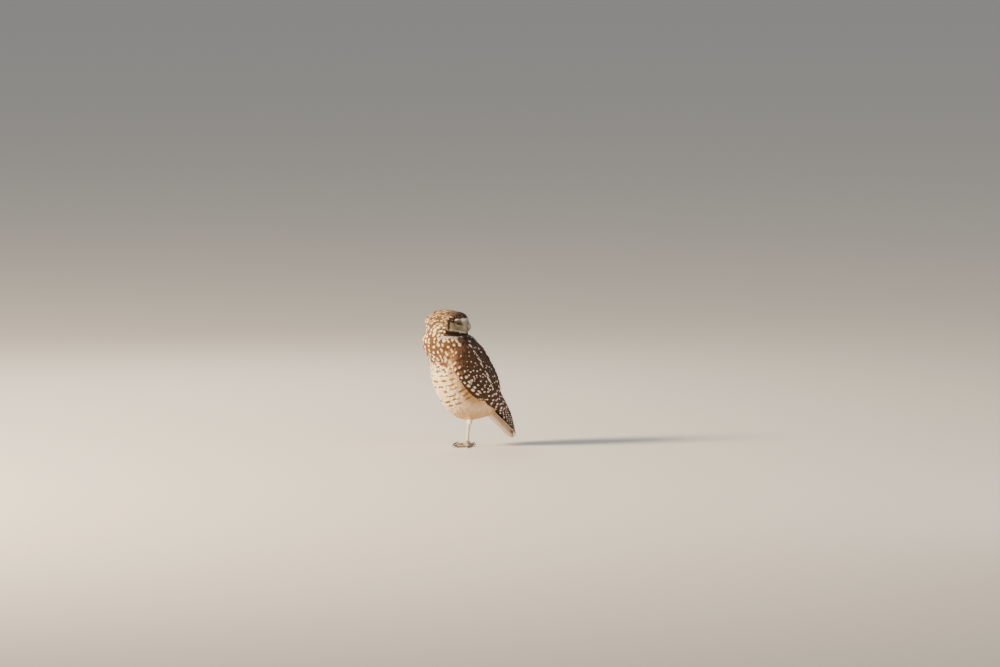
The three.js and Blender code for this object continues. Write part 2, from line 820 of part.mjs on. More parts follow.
// Legs. Each piece gives way to the one above it.
for (const foot of FEET) {
  const name = foot.name;
  parts[`thigh_${name}`] = largest(cuff(foot).subtract(trunkRoom));
  parts[`tarsus_${name}`] = tarsus(foot);
  const ball = pad(foot);
  parts[`foot_${name}`] = largest(ball.subtract(roomFor(parts[`tarsus_${name}`], GAP)));
  let taken = roomFor(ball, GAP);
  for (const toe of TOES) {
    const made = toeAndClaw(foot, toe);
    parts[`toe_${name}_${toe[0]}`] = largest(made.toe.subtract(taken));
    taken = taken.add(roomFor(made.toe, GAP));
    parts[`claw_${name}_${toe[0]}`] = largest(made.claw.subtract(roomFor(made.toe, GAP)));
  }
}

// Colours, roughness and metalness of each kind of piece.
const FINISHES = {
  plumage_pale: { color: 0xe4d3b4, roughness: 0.85 },
  plumage_brown: { color: 0x6b4f38, roughness: 0.85 },
  horn: { color: 0xb9b389, roughness: 0.45 },
  skin: { color: 0xb8a58a, roughness: 0.7 },
  claw: { color: 0x2c2622, roughness: 0.4 },
  eye: { color: 0xe8c62c, roughness: 0.1 },
};
const finishOf = (name) => {
  if (name.startsWith("claw")) return "claw";
  if (name.startsWith("toe") || name.startsWith("foot")) return "skin";
  if (name.startsWith("eye")) return "eye";
  if (name.startsWith("bill")) return "horn";
  return name.startsWith("wing") || name === "tail" ? "plumage_brown" : "plumage_pale";
};

const owl = new THREE.Group();
for (const [name, piece] of Object.entries(parts)) {
  const finish = new THREE.MeshStandardMaterial({ metalness: 0, ...FINISHES[finishOf(name)] });
  const mesh = new THREE.Mesh(toGeometry(largest(piece.simplify(SLIVER))), finish);
  mesh.name = name;
  owl.add(mesh);
}

// Sets the owl's box square over the origin.
const box = new THREE.Box3().setFromObject(owl);
owl.position.set(-(box.min.x + box.max.x) / 2, -(box.min.y + box.max.y) / 2, 0);

export default owl;
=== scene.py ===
# %% [markdown]
# # A burrowing owl, life size
# This lesson builds the looks of a small ground-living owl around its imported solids. The solids say where
# every part is. Here one smooth skin takes the place of the flesh, and thousands of modelled feathers
# grow from it in the way they lie on a real owl. Everything is written in millimetres, in the solids'
# own frame, and is turned to metres only when a mesh is made.

# %% Load the frame
import json
import math

import bpy
import numpy as np
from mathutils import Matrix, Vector
from mathutils.bvhtree import BVHTree
from mathutils.kdtree import KDTree


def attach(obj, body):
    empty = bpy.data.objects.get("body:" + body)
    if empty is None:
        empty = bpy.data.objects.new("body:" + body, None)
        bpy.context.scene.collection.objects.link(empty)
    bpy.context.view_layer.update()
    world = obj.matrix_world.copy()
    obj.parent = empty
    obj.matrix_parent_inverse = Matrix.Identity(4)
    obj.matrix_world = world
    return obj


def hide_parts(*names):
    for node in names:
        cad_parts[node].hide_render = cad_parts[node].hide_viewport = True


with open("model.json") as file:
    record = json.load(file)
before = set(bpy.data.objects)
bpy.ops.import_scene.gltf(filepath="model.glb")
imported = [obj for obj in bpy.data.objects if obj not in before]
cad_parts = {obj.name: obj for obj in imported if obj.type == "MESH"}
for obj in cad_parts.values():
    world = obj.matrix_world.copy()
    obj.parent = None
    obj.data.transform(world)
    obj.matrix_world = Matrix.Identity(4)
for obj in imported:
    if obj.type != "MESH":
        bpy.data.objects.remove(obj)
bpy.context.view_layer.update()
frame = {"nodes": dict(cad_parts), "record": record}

# %% [markdown]
# ## Where things are
# The solids were centred on the floor by their box, so their source's own numbers are off by a small
# shift. A mount under the left foot stands at a known place of the source, which gives that shift.

# %% The source's shift and its landmarks
MM = 0.001
LEFT_FOOT = (14.0, -10.0)
SOLE = next(mount["pos_m"] for mount in frame["record"]["mounts"] if mount["name"] == "sole_left")
SHIFT = np.array([SOLE[0] / MM - LEFT_FOOT[0], SOLE[1] / MM - LEFT_FOOT[1], 0.0])
TAIL_ROOT = np.array([0, 31, 64.0]) + SHIFT
TAIL_TIP = np.array([0, 77.5, 10.5]) + SHIFT
print("shift of the source, in millimetres:", SHIFT.round(3))

# %% Small helpers with numbers
def ramp(x, low, high):
    """0 below low, 1 above high and smooth between."""
    t = np.clip((np.asarray(x, float) - low) / (high - low), 0, 1)
    return t * t * (3 - 2 * t)


def blend(a, b, t):
    return a + (b - a) * t


def unit(vectors):
    return vectors / np.maximum(np.linalg.norm(vectors, axis=-1, keepdims=True), 1e-9)


def circle(count):
    """Angles all the way round, in radians."""
    return np.linspace(0, 2 * np.pi, count, endpoint=False)


def tree_of(places):
    """A finder of the nearest of some places."""
    finder = KDTree(len(places))
    for index, place in enumerate(places):
        finder.insert(place, index)
    finder.balance()
    return finder


print("half way up a ramp from 2 to 4:", float(ramp(3, 2, 4)))

# %% [markdown]
# ## Camera, light and floor
# The picture was taken with a long lens from the owl's front left, a little above its feet. A long lens
# far away keeps the same narrow perspective. The owl is small in that wide picture, so the camera aims
# at the picture's own centre and not at the owl. The light is a large soft lamp high on the left, where
# the low sun stood, with a weak one on the right and a pale sky.

# %% Camera
PICTURE = (1000, 667)
MM_PER_PIXEL = 1.48
FOOT_PIXEL = (467.0, 447.0)
AZIMUTH, ELEVATION = math.radians(60), math.radians(5)
SENSOR, LENS = 36.0, 600.0

to_right = np.array([math.cos(AZIMUTH), math.sin(AZIMUTH), 0.0])
to_camera = np.array([
    math.sin(AZIMUTH) * math.cos(ELEVATION), -math.cos(AZIMUTH) * math.cos(ELEVATION), math.sin(ELEVATION)])
to_up = np.cross(to_camera, to_right)
across = (PICTURE[0] / 2 - FOOT_PIXEL[0]) * MM_PER_PIXEL
above = (FOOT_PIXEL[1] - PICTURE[1] / 2) * MM_PER_PIXEL
aim = np.array([*LEFT_FOOT, 0.0]) + SHIFT + to_right * across + to_up * above
distance = LENS / SENSOR * PICTURE[0] * MM_PER_PIXEL


def place_in_scene(name, data, location=(0, 0, 0)):
    """An object that holds some data, linked to the scene."""
    made = bpy.data.objects.new(name, data)
    made.location = location
    bpy.context.scene.collection.objects.link(made)
    return made


lens = bpy.data.cameras.new("camera")
lens.lens = LENS
lens.sensor_width = SENSOR
lens.clip_end = 200
camera = place_in_scene("camera", lens, Vector((aim + to_camera * distance) * MM))
camera.rotation_euler = Vector(-to_camera).to_track_quat("-Z", "Y").to_euler()
bpy.context.scene.camera = camera
print("camera stands", round(distance * MM, 2), "metres away")

# %% Helpers for colours and materials
def linear(hex_colour):
    """An sRGB hex colour as linear numbers with full alpha."""
    parts = [int(hex_colour[i : i + 2], 16) / 255 for i in (1, 3, 5)]
    return tuple(p / 12.92 if p <= 0.04045 else ((p + 0.055) / 1.055) ** 2.4 for p in parts) + (1.0,)


def node(tree, kind, sockets, give=0, **settings):
    """Adds a shader node with its settings, sets or links its sockets, and gives one of its outputs."""
    made = tree.nodes.new("ShaderNode" + kind)
    for name, value in settings.items():
        setattr(made, name, value)
    fill(made, sockets)
    return made.outputs[give]


def fill(made, sockets):
    """Sets each named socket of a node, or links it where its value is another node's output."""
    for name, value in sockets.items():
        if isinstance(value, bpy.types.NodeSocket):
            made.id_data.links.new(value, made.inputs[name])
        else:
            made.inputs[name].default_value = value


def new_material(name):
    """An empty material with its node tree and its shader."""
    made = bpy.data.materials.new(name)
    made.use_nodes = True
    return made, made.node_tree, made.node_tree.nodes["Principled BSDF"]


print("dark brown as linear numbers:", [round(v, 3) for v in linear("#4a3424")])

# %% Lamps and sky, with places in metres from the owl's feet
left = -to_right
for name, place, size, power, colour in (
    ("key_lamp", (left * 1.45 + to_camera * 0.55 + np.array([0, 0, 0.8])) * 1.9, 0.8, 380, "#ffe8c6"),
    ("fill_lamp", to_right * 1.3 + to_camera * 0.9 + np.array([0, 0, 0.6]), 1.2, 5, "#e6ecff"),
    ("back_lamp", -to_camera * 1.2 + left * 0.5 + np.array([0, 0, 1.1]), 0.8, 9, "#fff6ea"),
):
    light = bpy.data.lights.new(name, "AREA")
    light.size, light.energy, light.color = size, power, linear(colour)[:3]
    lamp = place_in_scene(name, light, tuple(place))
    lamp.rotation_euler = (Vector((0, 0, 0.1)) - Vector(tuple(place))).to_track_quat("-Z", "Y").to_euler()

world = bpy.data.worlds.new("pale_sky")
bpy.context.scene.world = world
world.use_nodes = True
fill(world.node_tree.nodes["Background"], {"Color": linear("#dfe4ea"), "Strength": 0.45})
print("lamps:", [light.name for light in bpy.data.lights])

# %% Floor
HALF_FLOOR = 16.0  # metres
floor_mesh = bpy.data.meshes.new("floor")
corners = [(x * HALF_FLOOR, y * HALF_FLOOR, 0) for x, y in ((-1, -1), (1, -1), (1, 1), (-1, 1))]
floor_mesh.from_pydata(corners, [], [(0, 1, 2, 3)])
floor = place_in_scene("floor", floor_mesh)
floor_paint, tree, shader = new_material("matt_plaster_floor")
fill(shader, {"Base Color": linear("#d9d4cb"), "Roughness": 0.9})
floor.data.materials.append(floor_paint)
print("floor:", 2 * HALF_FLOOR, "metres wide")

# %% [markdown]
# ## The body's own coordinates
# A bird's feathers run down its body, so it helps to know for any point how far down the body it is and
# how far round from the breast. The body is a row of leaning sections from the head to the wing tips,
# the same ones as in the solids. Two functions go from these body coordinates to a place and back.

# %% Sections of the body
STATIONS = np.array([  # y, z, lean in degrees, half width, depth in front of the middle and behind it
    [-37, 175, 4, 27, 35, 24],
    [-36, 165, 8, 34, 41, 28],
    [-32, 155, 16, 40, 41, 35],
    [-24, 140, 25, 41.5, 39.5, 39],
    [-13, 121, 28, 42.5, 51, 42],
    [-2, 101, 30, 42, 54, 43],
    [11, 81, 35, 39, 52, 41],
    [29, 61, 43, 32, 40, 31],
    [48, 42, 46, 23, 12, 24],
    [64, 27, 46, 15, 6, 16],
    [77, 13, 46, 9, 3, 7],
])
WING_EDGE = np.array([[50, 50, 50, 46, 52, 60, 69, 80, 97, 108, 112]]).T


def through(rows, at):
    """A smooth curve through evenly spaced rows of numbers."""
    last = len(rows) - 1
    t = np.clip(np.atleast_1d(at), 0, last)
    i = np.minimum(t.astype(int), last - 1)
    f = (t - i)[:, None]
    a, b = rows[i], rows[i + 1]
    before, after = rows[np.maximum(i - 1, 0)], rows[np.minimum(i + 2, last)]
    start, end = (b - before) / 2, (after - a) / 2
    rise = a * (2 * f**3 - 3 * f**2 + 1) + start * (f**3 - 2 * f**2 + f)
    return rise + b * (3 * f**2 - 2 * f**3) + end * (f**3 - f**2)


def wing_edge(s):
    """The angle round the body where the folded wing's lower edge lies."""
    return through(WING_EDGE, s)[:, 0]


def feather_edge(s):
    """The wing's edge as it shows: the breast's side feathers cover the bend of the wing."""
    return wing_edge(s) + 24 * (1 - ramp(s, 2.0, 3.7))


def outline(s, angle, lift=0.0):
    """Places on the body's outline at stations s and angles from the breast, raised by lift."""
    s, angle, lift = np.broadcast_arrays(np.asarray(s, float), angle, lift)
    y, z, lean, wide, front, back = through(STATIONS, s.ravel()).T
    turn, lean = np.radians(angle.ravel()), np.radians(lean)
    deep = np.where(np.cos(turn) > 0, front, back) + lift.ravel()
    depth = -deep * np.cos(turn)
    sideways = (wide + lift.ravel()) * np.sin(turn)
    places = np.stack([sideways, y + depth * np.cos(lean), z + depth * np.sin(lean)], -1)
    return (places + SHIFT).reshape(*s.shape, 3)


print("breast and back at the shoulder:", outline(4, np.array([0, 180])).round(1).tolist())

# %% From a place back to body coordinates
grid_s, grid_angle = np.meshgrid(np.linspace(0, 9.6, 97), np.linspace(-180, 178, 180), indexing="ij")
body_finder = tree_of(outline(grid_s, grid_angle).reshape(-1, 3))


def body_coordinates(places):
    """Station and angle of the nearest spot of the outline, for each place."""
    nearest = np.array([body_finder.find(place)[1] for place in places])
    return grid_s.ravel()[nearest], grid_angle.ravel()[nearest]


print("places of the outline to search:", grid_s.size)


# %% [markdown]
# ## The head's own coordinates
# The owl looks back over its left shoulder, so its head has a frame of its own. In that frame the bill
# points to -Y, the owl's left is +X and the crown is +Z. Eyes, lids, bill and the face's feathers are
# all made there and then turned with the head.

# %% The head's frame
HEAD_AT = np.array([0, -34.5, 183.0])
turn, bow = math.radians(128), math.radians(8)
HEAD_TURN = np.array([[math.cos(turn), -math.sin(turn), 0], [math.sin(turn), math.cos(turn), 0], [0, 0, 1.0]])
HEAD_BOW = np.array([[1.0, 0, 0], [0, math.cos(bow), -math.sin(bow)], [0, math.sin(bow), math.cos(bow)]])
HEAD_AXES = HEAD_TURN @ HEAD_BOW


def from_head(places):
    """Places in the head's frame, as places in the owl's."""
    return np.asarray(places) @ HEAD_AXES.T + HEAD_AT + SHIFT


def to_head(places):
    """Places in the owl's frame, as places in the head's."""
    return (np.asarray(places) - HEAD_AT - SHIFT) @ HEAD_AXES


print("the bill points to", (from_head([[0, -1, 0]]) - from_head([[0, 0, 0]])).round(2).tolist())

# %% [markdown]
# ## The skin
# Under its feathers an owl is one unbroken skin. It is made from the solids of head, neck, trunk and
# legs: each is swollen a little, so that the thin gaps between them close, and all are remeshed into
# one surface. That surface is smoothed, and then drawn in by the depth of the coat, so that the
# feathers that grow from it end where the solids say the owl ends.

# %% Gather the flesh
def node_shape(name, grow=0.0):
    """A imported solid's points and faces, welded, with its points moved out by grow millimetres."""
    mesh = frame["nodes"][name].data
    points = np.empty(len(mesh.vertices) * 3)
    mesh.vertices.foreach_get("co", points)
    points = points.reshape(-1, 3) / MM
    microns = (points * 1000).round().astype(int)
    _, first, welded = np.unique(microns, axis=0, return_index=True, return_inverse=True)
    faces = welded.ravel()[corners_of(mesh)].reshape(-1, 3)
    points = points[first]
    return points + grow * point_normals(points, faces), faces


def corners_of(mesh):
    """The point at each corner of a mesh's faces."""
    corners = np.empty(len(mesh.loops), int)
    mesh.loops.foreach_get("vertex_index", corners)
    return corners


def point_normals(points, faces):
    """Each point's normal, from the triangles round it."""
    a, b, c = (points[faces[:, k]] for k in range(3))
    facing = np.cross(b - a, c - a)
    total = np.zeros_like(points)
    for k in range(3):
        np.add.at(total, faces[:, k], facing)
    return total / np.maximum(np.linalg.norm(total, axis=1, keepdims=True), 1e-12)


def make_mesh(name, points, faces):
    """A smooth mesh object in metres from points in millimetres."""
    mesh = bpy.data.meshes.new(name)
    mesh.from_pydata((np.asarray(points) * MM).tolist(), [], np.asarray(faces).tolist())
    mesh.update()
    mesh.shade_smooth()
    return place_in_scene(name, mesh)


def joined(shapes):
    """Several shapes as one list of points and faces."""
    starts = np.cumsum([0] + [len(points) for points, _ in shapes])
    all_faces = [faces + start for (_, faces), start in zip(shapes, starts)]
    return np.concatenate([points for points, _ in shapes]), np.concatenate(all_faces)


def lofted(rings, close_start=False, close_end=False):
    """Points and faces that join rings of points, each ring closed on itself."""
    rings = np.asarray(rings, float)
    count, around = rings.shape[:2]
    points = rings.reshape(-1, 3)
    i = np.arange(around)
    j = (i + 1) % around
    faces = []
    for r in range(count - 1):
        a, b, c, d = r * around + i, r * around + j, (r + 1) * around + i, (r + 1) * around + j
        faces += np.stack([a, b, d], 1).tolist() + np.stack([a, d, c], 1).tolist()
    for wanted, ring, flip in ((close_start, 0, True), (close_end, count - 1, False)):
        if wanted:
            centre = len(points)
            points = np.vstack([points, rings[ring].mean(0)])
            first, second = (j, i) if flip else (i, j)
            cap = np.stack([np.full(around, centre), ring * around + first, ring * around + second], 1)
            faces += cap.tolist()
    return points, np.array(faces)


def rump():
    """The fleshy root of the tail, an egg that lies along it."""
    along = (TAIL_TIP - TAIL_ROOT) / np.linalg.norm(TAIL_TIP - TAIL_ROOT)
    up = np.array([0, -along[2], along[1]])
    turn = circle(24)
    middle = TAIL_ROOT + along * 15 - up * 4
    section = np.outer(11.5 * np.cos(turn), [1, 0, 0]) + np.outer(5.5 * np.sin(turn), up)
    ends = np.linspace(0.1, math.pi - 0.1, 16)
    return lofted([middle + along * 22 * -math.cos(t) + math.sin(t) * section for t in ends], True, True)


FLESH = (
    "head", "eye_left", "eye_right", "neck", "torso",
    "thigh_left", "thigh_right", "tarsus_left", "tarsus_right",
)
SEAM = 0.35
flesh = make_mesh("flesh", *joined([node_shape(name, SEAM) for name in FLESH] + [rump()]))
print("points of the flesh before remeshing:", len(flesh.data.vertices))

# %% Remesh it into one surface
def triangles_of(mesh):
    """Points in millimetres and triangles of a mesh."""
    mesh.calc_loop_triangles()
    points = np.empty(len(mesh.vertices) * 3)
    mesh.vertices.foreach_get("co", points)
    faces = np.empty(len(mesh.loop_triangles) * 3, int)
    mesh.loop_triangles.foreach_get("vertices", faces)
    return points.reshape(-1, 3) / MM, faces.reshape(-1, 3)


def largest_body(points, faces):
    """The largest connected part of a surface."""
    label = np.arange(len(points))
    while True:
        low = label[faces].min(1)
        new = label.copy()
        for k in range(3):
            np.minimum.at(new, faces[:, k], low)
        new = new[new]
        if (new == label).all():
            break
        label = new
    names, counts = np.unique(label, return_counts=True)
    kept = label == names[counts.argmax()]
    place = np.cumsum(kept) - 1
    return points[kept], place[faces[kept[faces].all(1)]]


def one_surface(rough, voxel):
    """A rough object remeshed into one closed surface, as points and triangles. The object is used up."""
    change = rough.modifiers.new("one_surface", "REMESH")
    change.mode = "VOXEL"
    change.voxel_size = voxel * MM
    made = bpy.data.meshes.new_from_object(rough.evaluated_get(bpy.context.evaluated_depsgraph_get()))
    bpy.data.objects.remove(rough)
    return largest_body(*triangles_of(made))


def smoothed(points, faces, rounds, strength=0.5, weight=None, outwards=False):
    """Points moved towards the middle of their neighbours, or only where that is outwards, which fills hollows."""
    ends = np.concatenate([faces[:, [0, 1]], faces[:, [1, 2]], faces[:, [2, 0]]])
    one, two = np.unique(np.sort(ends, 1), axis=0).T
    n = len(points)
    count = np.bincount(np.concatenate([one, two]), minlength=n)[:, None]
    share = strength if weight is None else strength * weight[:, None]
    for _ in range(rounds):
        total = [np.bincount(one, points[two, k], n) + np.bincount(two, points[one, k], n) for k in range(3)]
        move = np.stack(total, -1) / count - points
        if outwards:
            normals = point_normals(points, faces)
            move = np.maximum((move * normals).sum(1), 0)[:, None] * normals
        points = points + share * move
    return points


skin_points, skin_faces = one_surface(flesh, 1.0)
print("skin:", len(skin_points), "points,", len(skin_faces), "triangles")

# %% [markdown]
# ## Draw the skin in under the coat
# The solids end where the feather tips end. So the skin sinks by the coat's depth: least on the face
# and the shanks, most on the breast. Under the folded wings the trunk already lies lower, so it hardly
# moves there. Round the eyes the skin keeps inside the eyeballs, because the lids are made on their own.

# %% Where the head, the legs and the eyes are
EYE = {"side": 14.0, "front": 16.6, "up": 5.8, "radius": 8.0, "turned_out": 28.0}
LEG_PLACES = {1: (14, -9), -1: (-14, 8)}  # left and right, where a tarsus stands in the source's x and y


def on_head(places):
    """How much each place belongs to the head, from 0 to 1."""
    x, y, z = to_head(places).T
    reach = np.sqrt((x / 36) ** 2 + (y / 38) ** 2 + (z / 27) ** 2)
    return 1 - ramp(reach, 1.0, 1.12)


def on_leg(places):
    """How much each place belongs to a leg below the belly, or to a foot."""
    x, y, z = (places - SHIFT).T
    from_leg = np.minimum(*(np.hypot(x - leg_x, y - leg_y) for leg_x, leg_y in LEG_PLACES.values()))
    return np.maximum(1 - ramp(from_leg, 6.5, 9), 1 - ramp(z, 10, 14)) * (1 - ramp(z, 36, 44))


def near_path(local, path, half_width):
    """How close places in the head's frame are to a line of points, the same on both sides of the head."""
    folded = np.stack([np.abs(local[:, 0]), local[:, 1], local[:, 2]], -1)
    path = np.array(path, float)
    best = np.full(len(local), 1e9)
    for a, b in zip(path[:-1], path[1:]):
        t = np.clip(((folded - a) @ (b - a)) / ((b - a) @ (b - a)), 0, 1)[:, None]
        best = np.minimum(best, np.linalg.norm(folded - (a + t * (b - a)), axis=1))
    return 1 - ramp(best, half_width * 0.7, half_width * 1.2)


def eye_centre(side):
    return np.array([side * EYE["side"], -EYE["front"], EYE["up"]])


print("middle of the left eye, from the middle of the head:", eye_centre(1).tolist())


# %% Depth of the coat, in millimetres
FACE_DEPTH, CROWN_DEPTH, BODY_DEPTH = 0.9, 2.0, 3.2
THIGH_DEPTH, SHANK_DEPTH, UNDER_WING_DEPTH = 1.6, 0.7, 0.5

s, angle = body_coordinates(skin_points)
covered = ramp(np.abs(angle), wing_edge(s) - 4, wing_edge(s) + 4) * ramp(s, 2, 3)
head_share, leg_share = on_head(skin_points), on_leg(skin_points)
face_share = ramp(-to_head(skin_points)[:, 1], 4, 16)
depth = blend(BODY_DEPTH, UNDER_WING_DEPTH, covered)
depth = blend(depth, blend(CROWN_DEPTH, FACE_DEPTH, face_share), head_share)
depth = blend(depth, blend(THIGH_DEPTH, SHANK_DEPTH, 1 - ramp(skin_points[:, 2], 27, 33)), leg_share)
skin_points = smoothed(skin_points, skin_faces, 12, 0.5, 1 - 0.8 * leg_share - 0.5 * face_share * head_share)

# fill the hollow of the nape and the hollows round the eyes
nape = (1 - ramp(s, 1.4, 2.2)) * (1 - leg_share) * (1 - face_share * ramp(to_head(skin_points)[:, 2], -22, -16))
skin_points = smoothed(skin_points, skin_faces, 60, 0.9, nape, outwards=True)
eye_distance = np.minimum(*(np.linalg.norm(to_head(skin_points) - eye_centre(side), axis=1) for side in (-1, 1)))
round_eyes = (1 - ramp(eye_distance, 13, 17)) * head_share
skin_points = smoothed(skin_points, skin_faces, 45, 0.9, round_eyes, outwards=True)
sunk = smoothed(depth[:, None] * np.ones(3), skin_faces, 10)[:, :1] + SEAM
skin_points = skin_points - sunk * point_normals(skin_points, skin_faces)
skin_points = smoothed(skin_points, skin_faces, 3, 0.5, 1 - 0.9 * leg_share)
print("the skin lies", round(float(sunk.min()), 2), "to", round(float(sunk.max()), 2), "mm under the coat")

# %% [markdown]
# ## Lids
# In the strong sun the owl nearly closes its eyes: only a narrow, slanting slit shows, dark-edged, with
# a sliver of yellow iris in it. Each lid is a shell just over the eyeball, with a rolled rim round the
# slit and a fold above it, lofted in rings from the rim out to where the feathers cover it.

# %% The eye's own frame, and the skin pressed in behind the lids
SLIT = {"half_length": 6.4, "upper": 0.35, "lower": 0.7, "slant": 14.0}
EYE_LIMIT = EYE["radius"] - 0.5


def eye_axes(side):
    """The eye's axes in the head's frame, as rows: along the slit towards +X, straight out, and up."""
    out_turn, slant = math.radians(side * EYE["turned_out"]), math.radians(side * SLIT["slant"])
    level = np.array([math.cos(out_turn), math.sin(out_turn), 0.0])
    outward = np.array([math.sin(out_turn), -math.cos(out_turn), 0.0])
    along = level * math.cos(slant) + np.array([0.0, 0.0, 1.0]) * math.sin(slant)
    return np.array([along, outward, np.cross(along, outward) * -1.0])


def from_eye(side, places):
    """Places in an eye's frame, as places in the owl's."""
    return from_head(np.asarray(places) @ eye_axes(side) + eye_centre(side))


def seen_from_eye(side, local):
    """How places in the head's frame lie from an eye's centre: their offset, distance and angle off its sight."""
    out = local - eye_centre(side)
    reach = np.linalg.norm(out, axis=1)
    return out, reach, np.degrees(np.arccos(np.clip(out @ eye_axes(side)[1] / np.maximum(reach, 1e-9), -1, 1)))


local = to_head(skin_points)
for side in (-1, 1):
    out, reach, turn = seen_from_eye(side, local)
    pressed = blend(reach, np.minimum(reach, EYE_LIMIT), (1 - ramp(turn, 62, 76)) * (1 - ramp(reach, 11, 14)))
    local = eye_centre(side) + out * (pressed / reach)[:, None]
skin_points = from_head(local)
print("the eyes look along", [(HEAD_AXES @ eye_axes(side)[1]).round(2).tolist() for side in (1, -1)])

# %% Lids
LID_PROFILE = (  # share of the way from the slit to the outer edge, and distance from the eye's centre
    (0.0, 7.7), (0.0, 8.15), (0.012, 8.55), (0.045, 8.8), (0.09, 8.75), (0.14, 8.6),
    (0.22, 8.85), (0.34, 9.05), (0.42, 8.9), (0.5, 9.1), (0.7, 9.15), (1.0, 9.0),
)
LID_STEPS = 72
LID_REACH = 8.4
SIDES = {1: "left", -1: "right"}


def lid_rings(side):
    """Rings of a lid in the eye's frame, from inside the rim outwards."""
    phi = circle(LID_STEPS)
    up = np.sin(phi)
    opening = np.where(up > 0, SLIT["upper"], SLIT["lower"]) * np.sign(up) * np.abs(up) ** 1.15 - 0.2
    slit = np.stack([SLIT["half_length"] * np.cos(phi), opening], -1)
    outer = LID_REACH * np.stack([np.cos(phi), up], -1)
    rings = []
    for share, radius in LID_PROFILE:
        flat = blend(slit, outer, share)
        radius = radius + 0.25 * (up > 0) * np.clip(up, 0, 1) * (0.2 < share < 0.5)
        flat = flat * np.minimum(1, 0.985 * radius / np.maximum(np.hypot(*flat.T), 1e-6))[:, None]
        out = np.sqrt(np.maximum(radius**2 - (flat**2).sum(1), 0))
        rings.append(np.stack([flat[:, 0], out, flat[:, 1]], -1))
    return rings


def store(piece, name, values):
    """Keeps a number or a vector for each point of a piece, under a name that materials can read."""
    single = np.size(values) == len(piece.data.vertices)
    made = piece.data.attributes.new(name, "FLOAT" if single else "FLOAT_VECTOR", "POINT")
    made.data.foreach_set("value" if single else "vector", np.asarray(values, np.float32).ravel())


lids, lid_shapes = {}, {}
for side, word in SIDES.items():
    points, faces = lofted(lid_rings(side))
    lid_shapes[side] = (from_eye(side, points), faces)
    lids[side] = make_mesh(f"lids_{word}", *lid_shapes[side])
    store(lids[side], "from_rim", np.repeat(np.arange(len(LID_PROFILE)), LID_STEPS))
    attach(lids[side], "root")
print("each pair of lids:", len(lid_shapes[1][1]), "triangles")

# %% [markdown]
# ## Eyeballs
# An owl's eye is a ball too large to roll. What shows is a clear wet front over a yellow iris with a
# round black pupil. The pupil would be small in sunlight, but it is drawn wide, so that the narrow slit
# stays dark in the middle as painted shade. The ball's rings are centred on the line of sight, so that the
# iris can be drawn by the angle from it.

# %% Eyeballs
ball_radius = EYE["radius"] - 0.25
tilt = np.radians(np.concatenate([[0.5], np.arange(3, 60, 3), np.arange(66, 178, 8)]))
cornea = 1 + 0.03 * np.exp(-((np.degrees(tilt) / 30) ** 2))
eyeballs = {}
for side, word in SIDES.items():
    rings = [[(ball_radius * b * math.sin(t) * math.cos(a), ball_radius * b * math.cos(t),
               ball_radius * b * math.sin(t) * math.sin(a)) for a in circle(48)] for t, b in zip(tilt, cornea)]
    points, faces = lofted(rings, True, True)
    eyeball = make_mesh(f"eyeball_{word}", from_eye(side, points), faces)
    from_sight = np.arccos(np.clip(points[:, 1] / np.linalg.norm(points, axis=1), -1, 1))
    store(eyeball, "from_sight", np.degrees(from_sight))
    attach(eyeball, "root")
    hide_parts(f"eye_{word}")
    eyeballs[side] = eyeball
print("eyeballs:", [len(ball.data.polygons) for ball in eyeballs.values()])

# %% [markdown]
# ## Bill
# The bill is horn over bone: short, narrow and hooked down between the eyes, with a waxy swelling at its
# root that holds the nostrils. Each half is lofted along a curved middle line from a few widths and
# heights. The cross section is a rounded wedge, narrower on top, and the nostrils are pressed in.

# %% Both halves of the bill
UPPER_BILL = {"line": [[0, -23, 6], [0, -30, 5.2], [0, -33.6, 1.8], [0, -34.4, -2.2], [0, -33.1, -5.6]],
              "widths": [4.4, 4.2, 3.3, 2.0, 0.3], "heights": [4.6, 4.2, 3.2, 1.9, 0.3]}
LOWER_BILL = {"line": [[0, -24, -0.6], [0, -28.4, -1.8], [0, -31.3, -4.1]],
              "widths": [3.8, 3.2, 1.0], "heights": [2.4, 1.9, 0.7]}
BILL_STEPS, BILL_SIDES = 60, 56
NOSTRIL = {"depth": 1.5, "width": 0.8, "rim": 0.35, "rim_at": 1.7}


def horn(line, widths, heights, wedge=0.0):
    """A curved tapering horn in the head's frame."""
    last = len(line) - 1
    at = np.linspace(0, last, BILL_STEPS + 1)
    middle = through(np.array(line, float), at)
    tangent = np.gradient(middle, axis=0)
    tangent /= np.linalg.norm(tangent, axis=1, keepdims=True)
    side = np.array([1.0, 0, 0])
    wide = through(np.array(widths, float)[:, None], at * (len(widths) - 1) / last)
    high = through(np.array(heights, float)[:, None], at * (len(heights) - 1) / last)
    turn = circle(BILL_SIDES)
    narrow = 1 - wedge * np.clip(-np.sin(turn), 0, 1) ** 2
    rings = [m + w * np.outer(np.cos(turn) * narrow, side) + h * np.outer(np.sin(turn), u)
             for m, w, h, u in zip(middle, wide, high, np.cross(side, tangent))]
    return lofted(rings, True, True)


